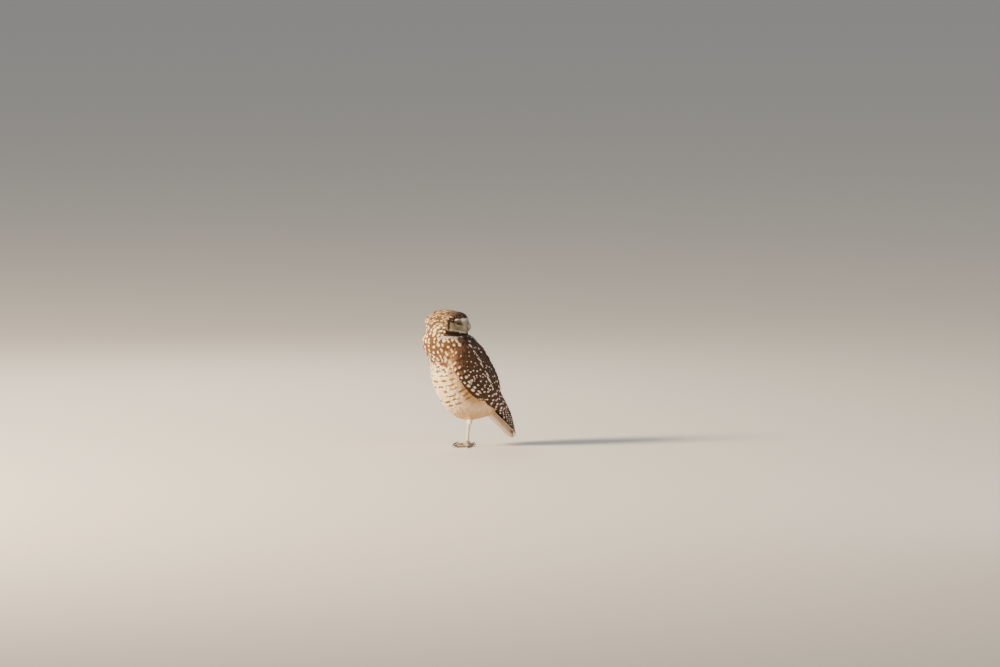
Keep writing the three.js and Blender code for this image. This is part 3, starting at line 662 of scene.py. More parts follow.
points, faces = horn(**UPPER_BILL, wedge=0.3)
for side in (-1, 1):
    reach = np.linalg.norm((points - np.array([side * 3.3, -31.6, 5.0])) / [1.0, 1.0, 0.8], axis=1)
    outward = np.array([side * 0.8, -0.5, 0.1])
    push = NOSTRIL["depth"] * np.exp(-((reach / NOSTRIL["width"]) ** 2))
    swell = NOSTRIL["rim"] * np.exp(-(((reach - NOSTRIL["rim_at"]) / NOSTRIL["width"]) ** 2))
    points = points - push[:, None] * outward
    points = points + swell[:, None] * outward
bill_shape = (from_head(points), faces)
bill_upper = make_mesh("bill_hook", *bill_shape)
points, faces = horn(**LOWER_BILL)
bill_lower = make_mesh("bill_under", from_head(points), faces)
for piece, replaced in ((bill_upper, "bill_upper"), (bill_lower, "bill_lower")):
    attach(piece, "root")
    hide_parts(replaced)
print("bill:", len(bill_upper.data.polygons) + len(bill_lower.data.polygons), "triangles")

# %% [markdown]
# ## Feet
# The toes are knuckled, scaly above and padded below, and they are flat where they stand. Every foot is
# lofted toe by toe on the solids' own lines, and remeshed into one finely divided skin so that the toes
# grow out of the foot without a crease. The claws are smooth horn on their own.

# %% Toes and claws
TOES = (  # number, start beside the foot's middle, angle, length, radius, claw's length
    (1, -1, 176, 10.5, 1.7, 7.5), (2, -3.4, -22, 16.5, 1.9, 9), (3, 0.9, 5, 19.5, 2, 9.5), (4, 3, 58, 15.5, 1.8, 8),
)
FEET = {"left": (1, 14.0, -10.0), "right": (-1, 14.0, 7.0)}
ON_FLOOR = 0.02  # millimetres, so that nothing dips below the floor


def toe_frame(foot, aside, angle):
    """Where a toe starts on the floor, the way it points and the way across it."""
    side, foot_x, foot_y = foot
    turn = math.radians(angle) * side
    ahead, sideways = np.array([math.sin(turn), -math.cos(turn), 0]), np.array([math.cos(turn), math.sin(turn), 0])
    return np.array([side * (foot_x + aside), foot_y, 0]) + SHIFT, ahead, sideways


def toe(foot, number, aside, angle, length, thick, claw):
    """A toe with knuckles, cross creases and a pad under each joint."""
    start, ahead, sideways = toe_frame(foot, aside, angle)
    knuckles = 1.5 if number == 1 else 2.5
    turn = circle(20)
    rings = []
    for share in np.linspace(-0.12, 1, 46):
        wave = math.cos(2 * math.pi * knuckles * share) ** 2
        end = 1 - 0.5 * float(ramp(share, 0.9, 1.02)) ** 2
        radius = thick * (0.86 + 0.16 * wave) * blend(1.05, 0.86, share) * end
        crease = 1 - 0.035 * math.sin(share * length * 2 * math.pi / 1.5)
        out = start + ahead * (2.5 + (length - 2.5) * share)
        ring = out + np.outer(radius * crease * np.cos(turn), sideways)
        ring[:, 2] = np.maximum(thick * 0.8 + radius * crease * np.sin(turn), ON_FLOOR)
        rings.append(ring)
    return lofted(rings, True, True)


def claw_of(foot, number, aside, angle, length, thick, claw):
    """A curved claw that starts in the toe's end and comes down to the floor."""
    start, ahead, sideways = toe_frame(foot, aside, angle)
    full = math.radians(78)
    turn = circle(16)
    rings = []
    for share in np.linspace(0, 1, 20):
        sweep = share * full
        reach, fall = claw * math.sin(sweep) / full, claw * (1 - math.cos(sweep)) / full
        radius = blend(1.3, 0.18, share**0.9)
        middle = start + ahead * (length - 1.4 + reach)
        arch = 1.6 * math.sin(math.pi * min(share * 1.6, 1))
        middle[2] = max(thick * 0.95 + arch - fall * 0.62, radius * 0.9 + 0.1)
        up = np.array([0, 0, math.cos(sweep)]) + ahead * math.sin(sweep)
        ring = middle + np.outer(radius * 0.8 * np.cos(turn), sideways) + np.outer(radius * np.sin(turn), up)
        ring[:, 2] = np.maximum(ring[:, 2], ON_FLOOR)
        rings.append(ring)
    return lofted(rings, True, True)


def level_ring(foot, radius, height):
    """A level ring round the middle of a foot."""
    side, foot_x, foot_y = foot
    middle_x, middle_y = side * foot_x + SHIFT[0], foot_y + SHIFT[1]
    return [(middle_x + radius * math.cos(a), middle_y + radius * math.sin(a), height) for a in circle(28)]


foot_shapes = {}
for word, foot in FEET.items():
    pad = [level_ring(foot, 5.3 * math.sin(t), max(2.5 + 3.1 * math.cos(t), ON_FLOOR))
           for t in np.linspace(0.05, math.pi - 0.05, 18)]
    ankle = [level_ring(foot, radius, z) for z, radius in ((2.0, 3.4), (5.0, 3.0), (7.5, 2.6), (9.5, 2.4))]
    shapes = [lofted(pad, True, True), lofted(ankle, True, True)] + [toe(foot, *row) for row in TOES]
    points, faces = one_surface(make_mesh("foot_rough", *joined(shapes)), 0.36)
    points = smoothed(points, faces, 3, 0.4)
    points[:, 2] = np.maximum(points[:, 2], 0.0)
    foot_shapes[word] = (points, faces)
    foot_piece = make_mesh(f"toes_{word}", points, faces)
    claws = make_mesh(f"claws_{word}", *joined([claw_of(foot, *row) for row in TOES]))
    for piece, slot in ((foot_piece, "foot_skin"), (claws, "claw_horn")):
        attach(piece, "root")
    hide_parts(f"foot_{word}", *[f"toe_{word}_{number}" for number in (1, 2, 3, 4)])
    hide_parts(*[f"claw_{word}_{number}" for number in (1, 2, 3, 4)])
    print(word, "foot:", len(faces), "triangles")

# %% [markdown]
# ## The coat's plan
# A real owl's feathers differ from place to place: bristles on the face and shanks, small scale-like
# ones on the crown, and broad loose ones on the breast and belly. For any place on the skin one function
# gives the spacing, length, width and loft of the feathers that grow there, and another their direction.

# %% Spacing, length, half width and loft of the feathers
FEATHER_SIZES = {name: np.array(row) for name, row in {  # in millimetres
    "body": (2.0, 12.0, 3.4, 2.2),
    "neck": (1.8, 10.0, 2.9, 1.7),
    "vent": (1.9, 11.5, 3.0, 1.9),
    "crown": (1.3, 6.2, 1.6, 1.1),
    "face": (0.76, 4.2, 0.85, 0.6),
    "thigh": (1.1, 4.4, 1.1, 0.55),
    "shank": (0.85, 4.0, 0.9, 0.45),
    "toe": (1.5, 2.6, 0.45, 0.35),
    "lid": (0.45, 1.5, 0.32, 0.16),
}.items()}
LORE = [[3.0, -30, 9.5], [6.0, -29.5, 5.5], [6.2, -29.5, 0.5]]


def coat_sizes(places):
    """Rows of spacing, length, half width and loft for places on the skin."""
    sizes = FEATHER_SIZES
    s, angle = body_coordinates(places)
    local, height = to_head(places), places[:, 2:3]
    row = blend(sizes["neck"], sizes["body"], ramp(s, 0.8, 2.2)[:, None])
    row = blend(row, sizes["vent"], ramp(s, 5.4, 6.6)[:, None])
    crown = blend(sizes["neck"], sizes["crown"], ramp(local[:, 2], -6, 8)[:, None])
    on_the_head = blend(crown, sizes["face"], ramp(-local[:, 1], 2, 13)[:, None])
    row = blend(row, on_the_head, on_head(places)[:, None])
    row = row * (1 + near_path(local, LORE, 3.4)[:, None] * np.array([-0.15, 0.75, 0.15, 1.0]))
    on_shank = blend(sizes["thigh"], sizes["shank"], 1 - ramp(height, 24, 33))
    below = blend(on_shank, sizes["toe"], 1 - ramp(height, 7, 10))
    return blend(row, below, on_leg(places)[:, None])


def flow(places, normals):
    """The direction in which the feathers lie, in the skin at each place."""
    s, angle = body_coordinates(places)
    down_body = unit(outline(s + 0.2, angle) - outline(s - 0.2, angle))
    local = to_head(places)
    x, y, z = local.T
    none = 0 * x
    # back over the crown, outwards from the eyes in the disc of the face, and down over the bill's root
    fall = ramp(y, -14, 26) * 0.75 + 0.25 * ramp(-z, -4, 16)
    back = np.stack([none, 1 - fall, -fall], -1)
    near_bill = np.stack([np.abs(x), y, z], -1) - np.array([8.5, -24, 4.5])
    rays = unit(near_bill) * np.stack([np.sign(x), none + 1, none + 1], -1)
    in_disc = (1 - ramp(np.linalg.norm(near_bill, axis=1), 14, 22)) * ramp(-y, 2, 12)
    over_bill = unit(np.stack([-x * 0.12, -0.75 + none, -0.9 + none], -1))
    beside_bill = near_path(local, LORE, 3.0) * ramp(-y, 25, 28)
    lie_head = blend(blend(unit(back), rays, in_disc[:, None]), over_bill, beside_bill[:, None])
    lie = blend(down_body, unit(lie_head) @ HEAD_AXES.T, on_head(places)[:, None])
    # straight down the leg, and out along the toes
    shank = on_leg(places) * ramp(-places[:, 2], -42, -30)
    lie = blend(lie, np.array([0, 0.1, -1.0]), shank[:, None])
    ankle = np.where(places[:, :1] - SHIFT[0] > 0, [[*LEG_PLACES[1], 0]], [[*LEG_PLACES[-1], 0]]) + SHIFT
    along_toe = unit((places - ankle) * [1, 1, 0] + [0, 0, -1.5])
    lie = blend(lie, along_toe, 1 - ramp(places[:, 2:], 6.5, 9.5))
    return unit(lie - (lie * normals).sum(1, keepdims=True) * normals)


shown = np.vstack([outline(3, 0), from_head([[0, 5, 20], [-20, -24, 0]])])
print("feathers of the breast, the crown and the face:", coat_sizes(shown).round(1).tolist())

# %% [markdown]
# ## Colours of the plumage
# The bird's markings belong to its body. The crown is sandy brown with pale streaks, the brow, chin and
# throat are white round a greyish face with a dark rim and a dark collar, the breast is brown with cream
# spots, and the belly is cream with rusty bars. The wings are dark brown with round pale spots. Some
# colours also hold painted shade: the lores and the chin are greyed, a dark band runs along the eye's slit
# under the brow, the crown's front is darkened, and the flanks under the wing and the vent are darker. The
# wing's brown is lighter at the shoulder and along its front edge, partly as painted light. The same
# function colours skin and feathers, so nothing bare shows through in another colour.

# %% Ground colour and markings by place
COLOURS = {name: np.array(linear(code)[:3]) for name, code in {
    "crown": "#63472e", "crown_streak": "#e6c38d", "front_streak": "#a98c69", "nape": "#6e4c30",
    # the lore colour is a grey: painted shade over the lores' own white
    "brow": "#f7ecdc", "cheek": "#ab9c78", "rim": "#3a2418", "eye_line_and_lid_shade": "#3d281c", "lore": "#aea599",
    # the chin colour is a greyed white: the chin's own white with painted shade
    "collar": "#2f1d13", "throat": "#f2decd", "chin": "#dbd0b6",
    "breast": "#6d4a2c", "breast_spot": "#f7dfb4", "side": "#d2a468", "cream": "#f3ddb4",
    # the flank colour is the flanks' own warm tan, darkened as painted shade of the wing
    # the vent colour is the vent's own buff, darkened as painted shade of the wing
    "rust": "#8f5d31", "flank": "#c08d50", "flank_bar": "#a5743c", "vent": "#d2a87c", "shank": "#f3e6d2",
    # the shoulder colour is the wing's warmer brown, partly painted light
    "mantle": "#4a3323", "shoulder": "#7d5639", "wing_spot": "#f3ddca",
    "tail": "#5a4130", "tail_bar": "#e2cbb0", "under": "#ecd5c0",
}.items()}
# a dark line behind the eye that runs on along the upper lid above the slit, where it is painted shade under the
# brow
EYE_LINE_AND_LID_SHADE = [[11, -25.6, 4.6], [18.2, -24.8, 6.6], [22.6, -19, 7.8], [25.5, -16, 8], [28.5, -12.5, 6.5]]
DISC_RIM = [[26.5, -12, 11], [29.5, -12.5, 6], [30.5, -13.5, 0], [29.5, -15, -2.5]]
FACE_LINES = (  # colour, half width and a path in the head's frame, for the owl's left; the right mirrors it
    ("brow", 1.4, [[5, -29.5, 12], [13.4, -24, 11.8], [21, -19.5, 11.6], [25.5, -16.5, 10.8]]),
    ("brow", 2.6, [[0, -31, 12.5], [6, -29, 11.6], [11, -26, 11.4]]),
    # painted shade: the white lores are greyed
    ("lore", 3.6, LORE),
    ("lore", 1.7, [[9, -28.2, 1.6], [14.5, -26, 0.2]]),
    ("collar", 3.3, [[29.5, -10, -7.6], [28.7, -14, -8.8], [25.3, -21, -9.2], [16, -27, -10.4], [5, -29, -11.6],
                     [0, -30, -12]]),
    # painted shade: the chin's white stripe is greyed
    ("chin", 1.1, [[29.5, -16.5, -3.2], [24, -22.5, -4.6], [16.2, -26.6, -6.0]]),
    ("chin", 1.3, [[16.2, -26.6, -6.2], [7, -29, -7.2], [0, -30, -8.2]]),
    ("throat", 2.0, [[31.5, -4, -17.5], [30.9, -9.4, -16.4], [26.1, -19.4, -15.6], [17.5, -28.6, -14.6],
                     [8, -31, -15.2], [0, -32, -15.8]]),
)
UNSPOTTED = FACE_LINES[-4:]  # collar, chin and throat


def lay_over(colour, weight, name):
    return blend(colour, COLOURS[name], weight[:, None])


def plumage(places):
    """Ground colour of the coat at places on the skin."""
    s, angle = body_coordinates(places)
    around, height = np.abs(angle), (places - SHIFT)[:, 2]
    local = to_head(places)
    front, top = -local[:, 1], local[:, 2]
    # the brown of the breast ends in a wavy border over the cream belly
    x, y, z = places.T
    waves = np.sin(x * 0.9 + z * 0.5) * np.sin(x * 0.47 - z * 0.9 + 1) + 0.5 * np.sin(x * 2.1 + y * 1.3)
    border = 124 + 11 * waves
    belly = (1 - ramp(height, border - 8, border + 8)) * (1 - ramp(around, 88, 112))
    beside_wing = ramp(around, 34, 44) * (1 - ramp(around, 62, 72)) * ramp(s, 1.8, 2.6) * (1 - ramp(s, 3.6, 4.4))
    ground = lay_over(np.tile(COLOURS["breast"], (len(places), 1)), belly, "cream")
    # the flanks under the wing: their own warm tan, darkened as painted shade of the wing
    ground = lay_over(ground, belly * ramp(around, 40, 62) * ramp(height, 56, 74) * 0.85, "flank")
    ground = lay_over(ground, beside_wing * 0.6, "side")
    # the vent's own buff, darkened as painted shade of the wing
    ground = lay_over(ground, 1 - ramp(height, 48, 70), "vent")
    ground = lay_over(ground, ramp(around, 92, 118) * ramp(s, 0.9, 2.0), "mantle")
    crown = lay_over(np.tile(COLOURS["nape"], (len(places), 1)), ramp(top, -6, 6), "crown")
    # painted shade: the front of the crown is darkened towards the rim's dark brown
    crown = lay_over(crown, ramp(front, 4, 22) * ramp(top, 8, 14) * 0.55, "rim")
    crown = lay_over(crown, ramp(front, 8, 14) * ramp(9 - top, -2.5, 0.5) * ramp(top, -7, -4), "cheek")
    # painted shade along the slit under the brow, run on into the dark line behind the eye
    crown = lay_over(crown, near_path(local, EYE_LINE_AND_LID_SHADE, 2.5), "eye_line_and_lid_shade")
    crown = lay_over(crown, near_path(local, DISC_RIM, 2.4), "rim")
    ground = blend(ground, crown, on_head(places)[:, None])
    for name, half_width, path in FACE_LINES:
        ground = lay_over(ground, near_path(local, path, half_width) * ramp(front, 2, 6), name)
    return lay_over(ground, on_leg(places), "shank")


print("the belly's ground:", plumage(outline(5, np.array([0.0]))).round(2).tolist())

# %% [markdown]
# ## One soft feather
# A contour feather is a shaft with two rows of barbs. Near the shaft the barbs hook together into a
# closed vane, and their tips stand free, which makes the soft edge. The first template has that make-up:
# its vane is closed nearly to the edge, and each barb ends in a short free point. The face, the shanks
# and the toes have looser feathers, so a second template fans thin blades out from one root. Every
# feather is a template laid along the skin: a small lattice of places on the skin bends it, so it follows
# the body and can't stick out like a straight quill.

# %% Templates of a feather: points as (across -1..1, along 0..1, lift) and triangles
def feather_template(barbs, seed, loose=0.2, sweep=0.36, blunt=0.6):
    """A closed vane with free barb tips. loose is the free share of a barb, sweep how far it leans on."""
    chance = np.random.default_rng(seed)
    along = np.linspace(0.02, 0.97, barbs + 1)

    def tip_of(v):
        """Where the barb that starts at v on the shaft ends."""
        end = v + sweep * (1 - v) ** 0.7
        rise = np.clip(end / blunt, 0, 1)
        fall = np.clip((end - blunt) / (1.01 - blunt), 0, 1)
        return (0.3 + 0.7 * np.sin(rise * np.pi / 2) ** 1.2) * np.sqrt(1 - fall**2.1), end

    points = [(0.0, v, 0.0) for v in along]
    faces = []
    for side in (-1, 1):
        pull = 1 + chance.normal(0, 0.025, barbs + 1)
        for notch in chance.integers(barbs // 4, barbs, 3):
            pull[notch] -= 0.1 + 0.16 * chance.random()
        mid = len(points)
        for v, tug in zip(along, pull):
            u_tip, v_tip = tip_of(v)
            points.append((side * u_tip * (1 - loose) * tug, blend(v, v_tip, (1 - loose) * tug), -0.12))
        tips = len(points)
        for k in range(barbs):
            u_tip, v_tip = tip_of(along[k] + 0.7 * (along[k + 1] - along[k]))
            reach = min(pull[k], pull[k + 1]) * (1 + chance.normal(0, 0.03))
            v_end = min(v_tip + chance.normal(0, 0.008), 1.0)
            points.append((side * u_tip * reach, v_end, -0.3 + chance.normal(0, 0.06)))
        for k in range(barbs):
            a, b, c, d, t = k, k + 1, mid + k, mid + k + 1, tips + k
            faces += [face if side > 0 else face[::-1] for face in ((a, b, d), (a, d, c), (c, d, t))]
    return np.array(points), np.array(faces)


def tuft_template(blades, seed, width=0.15):
    """A bristly feather: thin blades that fan out from one root, three triangles each."""
    chance = np.random.default_rng(seed)
    points, faces = [], []
    for k in range(blades):
        lean = 2 * k / (blades - 1) - 1
        first, last = 0.02 + 0.22 * chance.random(), 1 - 0.22 * abs(lean) - 0.14 * chance.random()
        end = np.clip(0.95 * lean + chance.normal(0, 0.06), -1, 1)
        lift, start = chance.normal(0, 0.12), len(points)
        for u, v, half in ((0.2 * lean, first, 0.7 * width), (0.62 * lean, blend(first, last, 0.5), width)):
            points += [(u - half, v, lift), (u + half, v, lift - 0.05)]
        points.append((end, last, lift - 0.15))
        faces += [(start, start + 2, start + 3), (start, start + 3, start + 1), (start + 2, start + 4, start + 3)]
    return np.array(points), np.array(faces)


VARIANTS = 6
TEMPLATES = {
    "body": [feather_template(26, seed) for seed in range(VARIANTS)],
    "small": [feather_template(14, seed, 0.3, 0.42, 0.5) for seed in range(VARIANTS)],
    "bristle": [tuft_template(11, seed) for seed in range(VARIANTS)],
}
counts = [len(kind[0][1]) for kind in TEMPLATES.values()]
print("triangles of a body feather, a crown feather and a bristle:", counts)

# %% The surface that feathers lie on: skin, lids, bill and toes
surface_points, surface_faces = joined(
    [(skin_points, skin_faces), lid_shapes[1], lid_shapes[-1], bill_shape, *foot_shapes.values()])
surface_normals = point_normals(surface_points, surface_faces)
surface = BVHTree.FromPolygons(surface_points.tolist(), surface_faces.tolist())
LID_START = len(skin_faces)
BILL_START = LID_START + 2 * len(lid_shapes[1][1])
TOE_START = BILL_START + len(bill_shape[1])


def on_surface(places):
    """Nearest places on the surface, with smooth normals."""
    found = [surface.find_nearest(place) for place in places]
    return np.array([hit[0] for hit in found]), surface_normals[surface_faces[[hit[2] for hit in found]]].mean(1)


def sprinkle(how_many, seed, first, end):
    """Random places on the surface's triangles from first to end, spread by area, with the triangle of each."""
    chance = np.random.default_rng(seed)
    a, b, c = (surface_points[surface_faces[first:end, k]] for k in range(3))
    area = np.linalg.norm(np.cross(b - a, c - a), axis=1)
    pick = chance.choice(end - first, how_many, p=area / area.sum())
    u, v = chance.random((2, how_many, 1))
    u, v = np.where(u + v > 1, 1 - u, u), np.where(u + v > 1, 1 - v, v)
    return a[pick] * (1 - u - v) + b[pick] * u + c[pick] * v, pick + first


def thinned(places, spacing):
    """Indices of places that keep their spacing from one another."""
    spacing = np.broadcast_to(spacing, len(places))
    finder = tree_of(places)
    free = np.ones(len(places), bool)
    kept = []
    for index in range(len(places)):
        if free[index]:
            kept.append(index)
            for _, other, _ in finder.find_range(places[index], spacing[index]):
                free[other] = False
    return np.array(kept)


print("triangles that feathers lie on:", len(surface_faces))

# %% Roots of the coat on the skin, bare behind the lids, under the bill and under the folded wings
roots, _ = sprinkle(90000, 11, 0, LID_START)
s, angle = body_coordinates(roots)
local = to_head(roots)
hidden = (np.abs(angle) > feather_edge(s) + 6) & (s > 2.4) & (on_head(roots) < 0.5) & (on_leg(roots) < 0.5)
under_bill = (np.abs(local[:, 0]) < 3.6) & (local[:, 1] < -22) & (local[:, 2] > -2.5) & (local[:, 2] < 6.5)
behind_lid = np.zeros(len(roots), bool)
for side in SIDES:
    _, reach, turn = seen_from_eye(side, local)
    behind_lid |= (reach < 9.0) & (turn < 66)
roots = roots[~hidden & ~behind_lid & ~under_bill & (roots[:, 2] > 4)]
sizes = coat_sizes(roots)
kept = thinned(roots, sizes[:, 0])
roots, sizes = roots[kept], sizes[kept]
print("feathers rooted on the skin:", len(roots))

# %% Roots on the lids, off their bare rims, and on the tops of the toes
lid_roots, _ = sprinkle(16000, 12, LID_START, BILL_START)
local = to_head(lid_roots)
off_rim = np.zeros(len(lid_roots), bool)
for side in (-1, 1):
    x, out, up = ((local - eye_centre(side)) @ eye_axes(side).T).T
    rim_width, rim_height = SLIT["half_length"] + 1.2, np.where(up > -0.2, SLIT["upper"], SLIT["lower"]) + 1.3
    outside = (x / rim_width) ** 2 + ((up + 0.2) / rim_height) ** 2 > 1
    this_eye = np.abs(local[:, 0] - side * EYE["side"]) < 12
    off_rim |= this_eye & outside & (out > 0) & (np.hypot(x, up) < LID_REACH)
toe_roots, at_face = sprinkle(9000, 13, TOE_START, len(surface_faces))
faces_up = surface_normals[surface_faces[at_face]].mean(1)[:, 2] > 0.1
on_top = faces_up & (toe_roots[:, 2] > 1.5) & (toe_roots[:, 2] < 9)
for kind, places in (("lid", lid_roots[off_rim]), ("toe", toe_roots[on_top])):
    places = places[thinned(places, FEATHER_SIZES[kind][0])]
    roots = np.vstack([roots, places])
    sizes = np.vstack([sizes, np.tile(FEATHER_SIZES[kind], (len(places), 1))])
    print("feathers of the", kind + "s:", len(places), "and of the coat so far:", len(roots))

# %% [markdown]
# ## Spots, streaks and bars
# The marks run over many feathers: a spot is where the tips of a few neighbours are pale. So they are
# planned on the body first: round cream spots on the breast and nape, narrow streaks on the crown, and
# rusty bars in level rows across the belly, broken in the middle. A feather then draws the part of the
# nearest mark that falls on it.

# %% Plan the spots and streaks
def planned(places, half_lengths, half_widths, colour):
    """Marks as rows of centre, down, over, half length, half width and colour."""
    at, normals = on_surface(places)
    down = flow(at, normals)
    lengths, widths = (np.broadcast_to(half, len(at))[:, None] for half in (half_lengths, half_widths))
    return np.hstack([at, down, np.cross(down, normals), lengths, widths, np.tile(COLOURS[colour], (len(at), 1))])


chance = np.random.default_rng(77)
spread, _ = sprinkle(26000, 78, 0, LID_START)
s, angle = body_coordinates(spread)
around, height, local = np.abs(angle), (spread - SHIFT)[:, 2], to_head(spread)
_, front, top = local.T
bare = np.zeros(len(spread), bool)
for _, half_width, path in UNSPOTTED:
    bare |= (near_path(local, path, half_width + 1.2) > 0.3) & (front < -2)
headness = on_head(spread)
trunk = headness <= 0.4
on_crown = (headness > 0.6) & ((front > -10) | (top > 14)) & (top > 1) & ~bare
at_front = (front < -4) & (np.abs(local[:, 0]) < 19)
on_nape = (~trunk & (front > -8) & (top <= 1)) | (trunk & (s < 0.9)) & ~bare
on_breast = trunk & (s >= 0.9) & (height > 116) & (around < 86) & ~bare
on_mantle = trunk & (s >= 1.2) & (around >= 100) & (height > 120)
marks = []
for chosen, spacing, half_length, half_width, colour in (  # in millimetres
    (on_crown & ~at_front, 3.4, 3.1, 0.85, "crown_streak"),
    (on_crown & at_front, 2.9, 1.8, 0.6, "front_streak"),
    (on_nape, 5.4, 3.3, 1.7, "breast_spot"),
    (on_breast, 6.2, 3.1, 1.9, "breast_spot"),
    (on_mantle, 8.0, 1.9, 1.7, "wing_spot"),
):
    places = spread[chosen]
    places = places[thinned(places, spacing)]
    places = places[chance.random(len(places)) > 0.1]
    lower = 1 + 0.35 * (1 - ramp((places - SHIFT)[:, 2], 116, 146))
    lengths = half_length * chance.uniform(0.55, 1.35, len(places)) * lower
    widths = half_width * chance.uniform(0.65, 1.3, len(places)) * lower
    marks.append(planned(places, lengths, widths, colour))
print("spots and streaks:", sum(len(rows) for rows in marks))

# %% Plan the bars of the belly
bars = []
for s in np.arange(2.75, 5.9, 0.32):
    first = -70 + chance.uniform(0, 8)
    while first < 66:
        wide = chance.uniform(12, 25) if s > 3.7 else chance.uniform(6, 13)
        middle = first + wide / 2
        if chance.random() < (0.95 if 8 < abs(middle) < 56 else 0.6):
            bars.append((s + chance.uniform(-0.07, 0.07), middle, wide))
        first += wide + chance.uniform(1.5, 5)
bars = np.array(bars)
two_degrees = outline(bars[:, 0], bars[:, 1] + 1) - outline(bars[:, 0], bars[:, 1] - 1)
half_widths = bars[:, 2] / 2 * (np.linalg.norm(two_degrees, axis=1) / 2)
sideways, high = np.abs(bars[:, 1]) >= 34, bars[:, 0] < 3.3
for chosen, colour, larger in (
    (high, "breast", 1.4), (~high & ~sideways, "rust", 1), (~high & sideways, "flank_bar", 1),
):
    lengths = chance.uniform(1.6, 2.5, chosen.sum()) * larger
    middles = outline(bars[chosen, 0], bars[chosen, 1], -3)
    marks.append(planned(middles, lengths, half_widths[chosen], colour))
marks = np.vstack(marks)
mark_finder = tree_of(marks[:, :3])
NO_REPEAT = 1000.0  # a mark that stands alone is one of a row with a period far longer than a feather


def nearest_mark(places):
    """The mark that each place is in, or else the one it is nearest to in mark sizes."""
    found = np.array([[index for _, index, _ in mark_finder.find_n(place, 8)] for place in places])
    out = places[:, None] - marks[found, :3]
    down = (out * marks[found, 3:6]).sum(2) / marks[found, 9]
    over = (out * marks[found, 6:9]).sum(2) / marks[found, 10]
    return found[np.arange(len(places)), np.hypot(down, over).argmin(1)]


def store_marks(piece, points, ground, nearest, shift=0.0):
    """Keeps colours and each point's place in its mark. shift moves a feather's part of the mark, in mm."""
    out, rows = points + shift - marks[nearest, :3], marks[nearest]
    down = (out * rows[:, 3:6]).sum(1) / rows[:, 9]
    over = (out * rows[:, 6:9]).sum(1) / rows[:, 10]
    store(piece, "ground", ground)
    store(piece, "mark", rows[:, 11:14])
    store(piece, "spot", np.stack([down, over, np.full(len(points), NO_REPEAT)], -1))
    store(piece, "marked", np.ones(len(points)))


print("marks on the coat:", len(marks), "of them bars:", len(bars))

# %% Lay the feathers along the skin
LATTICE_ROWS = 5


def bend(roots, lies, sizes):
    """For each feather a lattice of places on the skin, 3 across its width, and the normals there."""
    _, normals = on_surface(roots)
    sides = unit(np.cross(lies, normals))
    along = np.linspace(0, 1, LATTICE_ROWS)[None, :, None, None] * sizes[:, 1, None, None, None]
    across = np.array([-1.0, 0, 1.0])[None, None, :, None] * sizes[:, 2, None, None, None]
    spots = roots[:, None, None] + lies[:, None, None] * along + sides[:, None, None] * across
    at, facing = on_surface(spots.reshape(-1, 3))
    return at.reshape(spots.shape), unit(facing).reshape(spots.shape)


def from_lattice(lattice, u, v):
    """Values of every lattice at a template's points (across -1..1, along 0..1)."""
    rows = LATTICE_ROWS - 1
    i = np.clip((v * rows).astype(int), 0, rows - 1)
    j = np.clip((u > 0).astype(int), 0, 1)
    f, g = (v * rows - i)[:, None], (u + 1 - j)[:, None]
    near = blend(lattice[:, i, j], lattice[:, i, j + 1], g)
    far = blend(lattice[:, i + 1, j], lattice[:, i + 1, j + 1], g)
    return blend(near, far, f)


def grow(roots, sizes, kind, seed):
    """Feathers on their roots: points, triangles, each point's feather, across and from-tip, and how they lie."""
    chance = np.random.default_rng(seed)
    _, normals = on_surface(roots)
    lies = flow(roots, normals)
    yaw = np.radians(chance.normal(0, 6, len(roots)))[:, None]
    lies = unit(lies * np.cos(yaw) + np.cross(normals, lies) * np.sin(yaw))
    sizes = sizes * (1 + chance.normal(0, 0.1, (len(roots), 1)).clip(-0.25, 0.25) * [0, 1, 1, 1])
    at, facing = bend(roots, lies, sizes)
    variants = chance.integers(0, VARIANTS, len(roots))
    shapes, notes = [], []
    for variant, (template, faces) in enumerate(TEMPLATES[kind]):
        chosen = np.flatnonzero(variants == variant)
        u, v, drop = template.T
        length, half_width, loft = (sizes[chosen, k][:, None] for k in (1, 2, 3))
        place, out = from_lattice(at[chosen], u, v), unit(from_lattice(facing[chosen], u, v))
        height = -0.35 + (loft + 0.35) * v**0.8 + drop * 0.45 * half_width * 0.6
        copies = faces[None] + np.arange(len(chosen))[:, None, None] * len(template)
        shapes.append(((place + out * height[..., None]).reshape(-1, 3), copies.reshape(-1, 3)))
        across, from_tip = (u[None] * half_width).ravel(), ((1 - v)[None] * length).ravel()
        notes.append((np.repeat(chosen, len(template)), across, from_tip))
    return *joined(shapes), *(np.concatenate(column) for column in zip(*notes)), lies


print("places in a feather's lattice:", LATTICE_ROWS * 3)

# %% Unwrap the skin, so that each feather has a patch of its own at its root's place
def map_patches(piece, spots, offsets, patch):
    """Gives a piece the UV map OFBake: small patches at spots on the unwrapped skin."""
    low, high = spots.min(0), spots.max(0)
    uv = (spots - low) / np.maximum(high - low, 1e-6) * (1 - 2 * patch) + patch + offsets * patch
    flat = uv[corners_of(piece.data)].astype(np.float32).ravel()
    piece.data.uv_layers.new(name="OFBake").data.foreach_set("uv", flat)


def unwrap(places):
    """Places on the skin as flat coordinates of its own shape: round the head, the trunk or a leg, and down it."""
    s, angle = body_coordinates(places)
    x, y, z = to_head(places).T
    flat = np.stack([angle / 360, -s / 10], -1)
    head_flat = np.stack([np.arctan2(x, -y) / (2 * np.pi), np.arctan2(z, np.hypot(x, y)) / np.pi], -1)
    x, y, z = (places - SHIFT).T
    side = np.where(x > 0, 1, -1)
    leg_x, leg_y = (np.where(x > 0, LEG_PLACES[1][k], LEG_PLACES[-1][k]) for k in (0, 1))
    leg_flat = np.stack([np.arctan2(x - leg_x, y - leg_y) / (2 * np.pi) + side * 0.55, z / 60], -1)
    flat = np.where(on_head(places)[:, None] > 0.5, head_flat, flat)
    return np.where(on_leg(places)[:, None] > 0.5, leg_flat, flat)


PATCH = 0.003


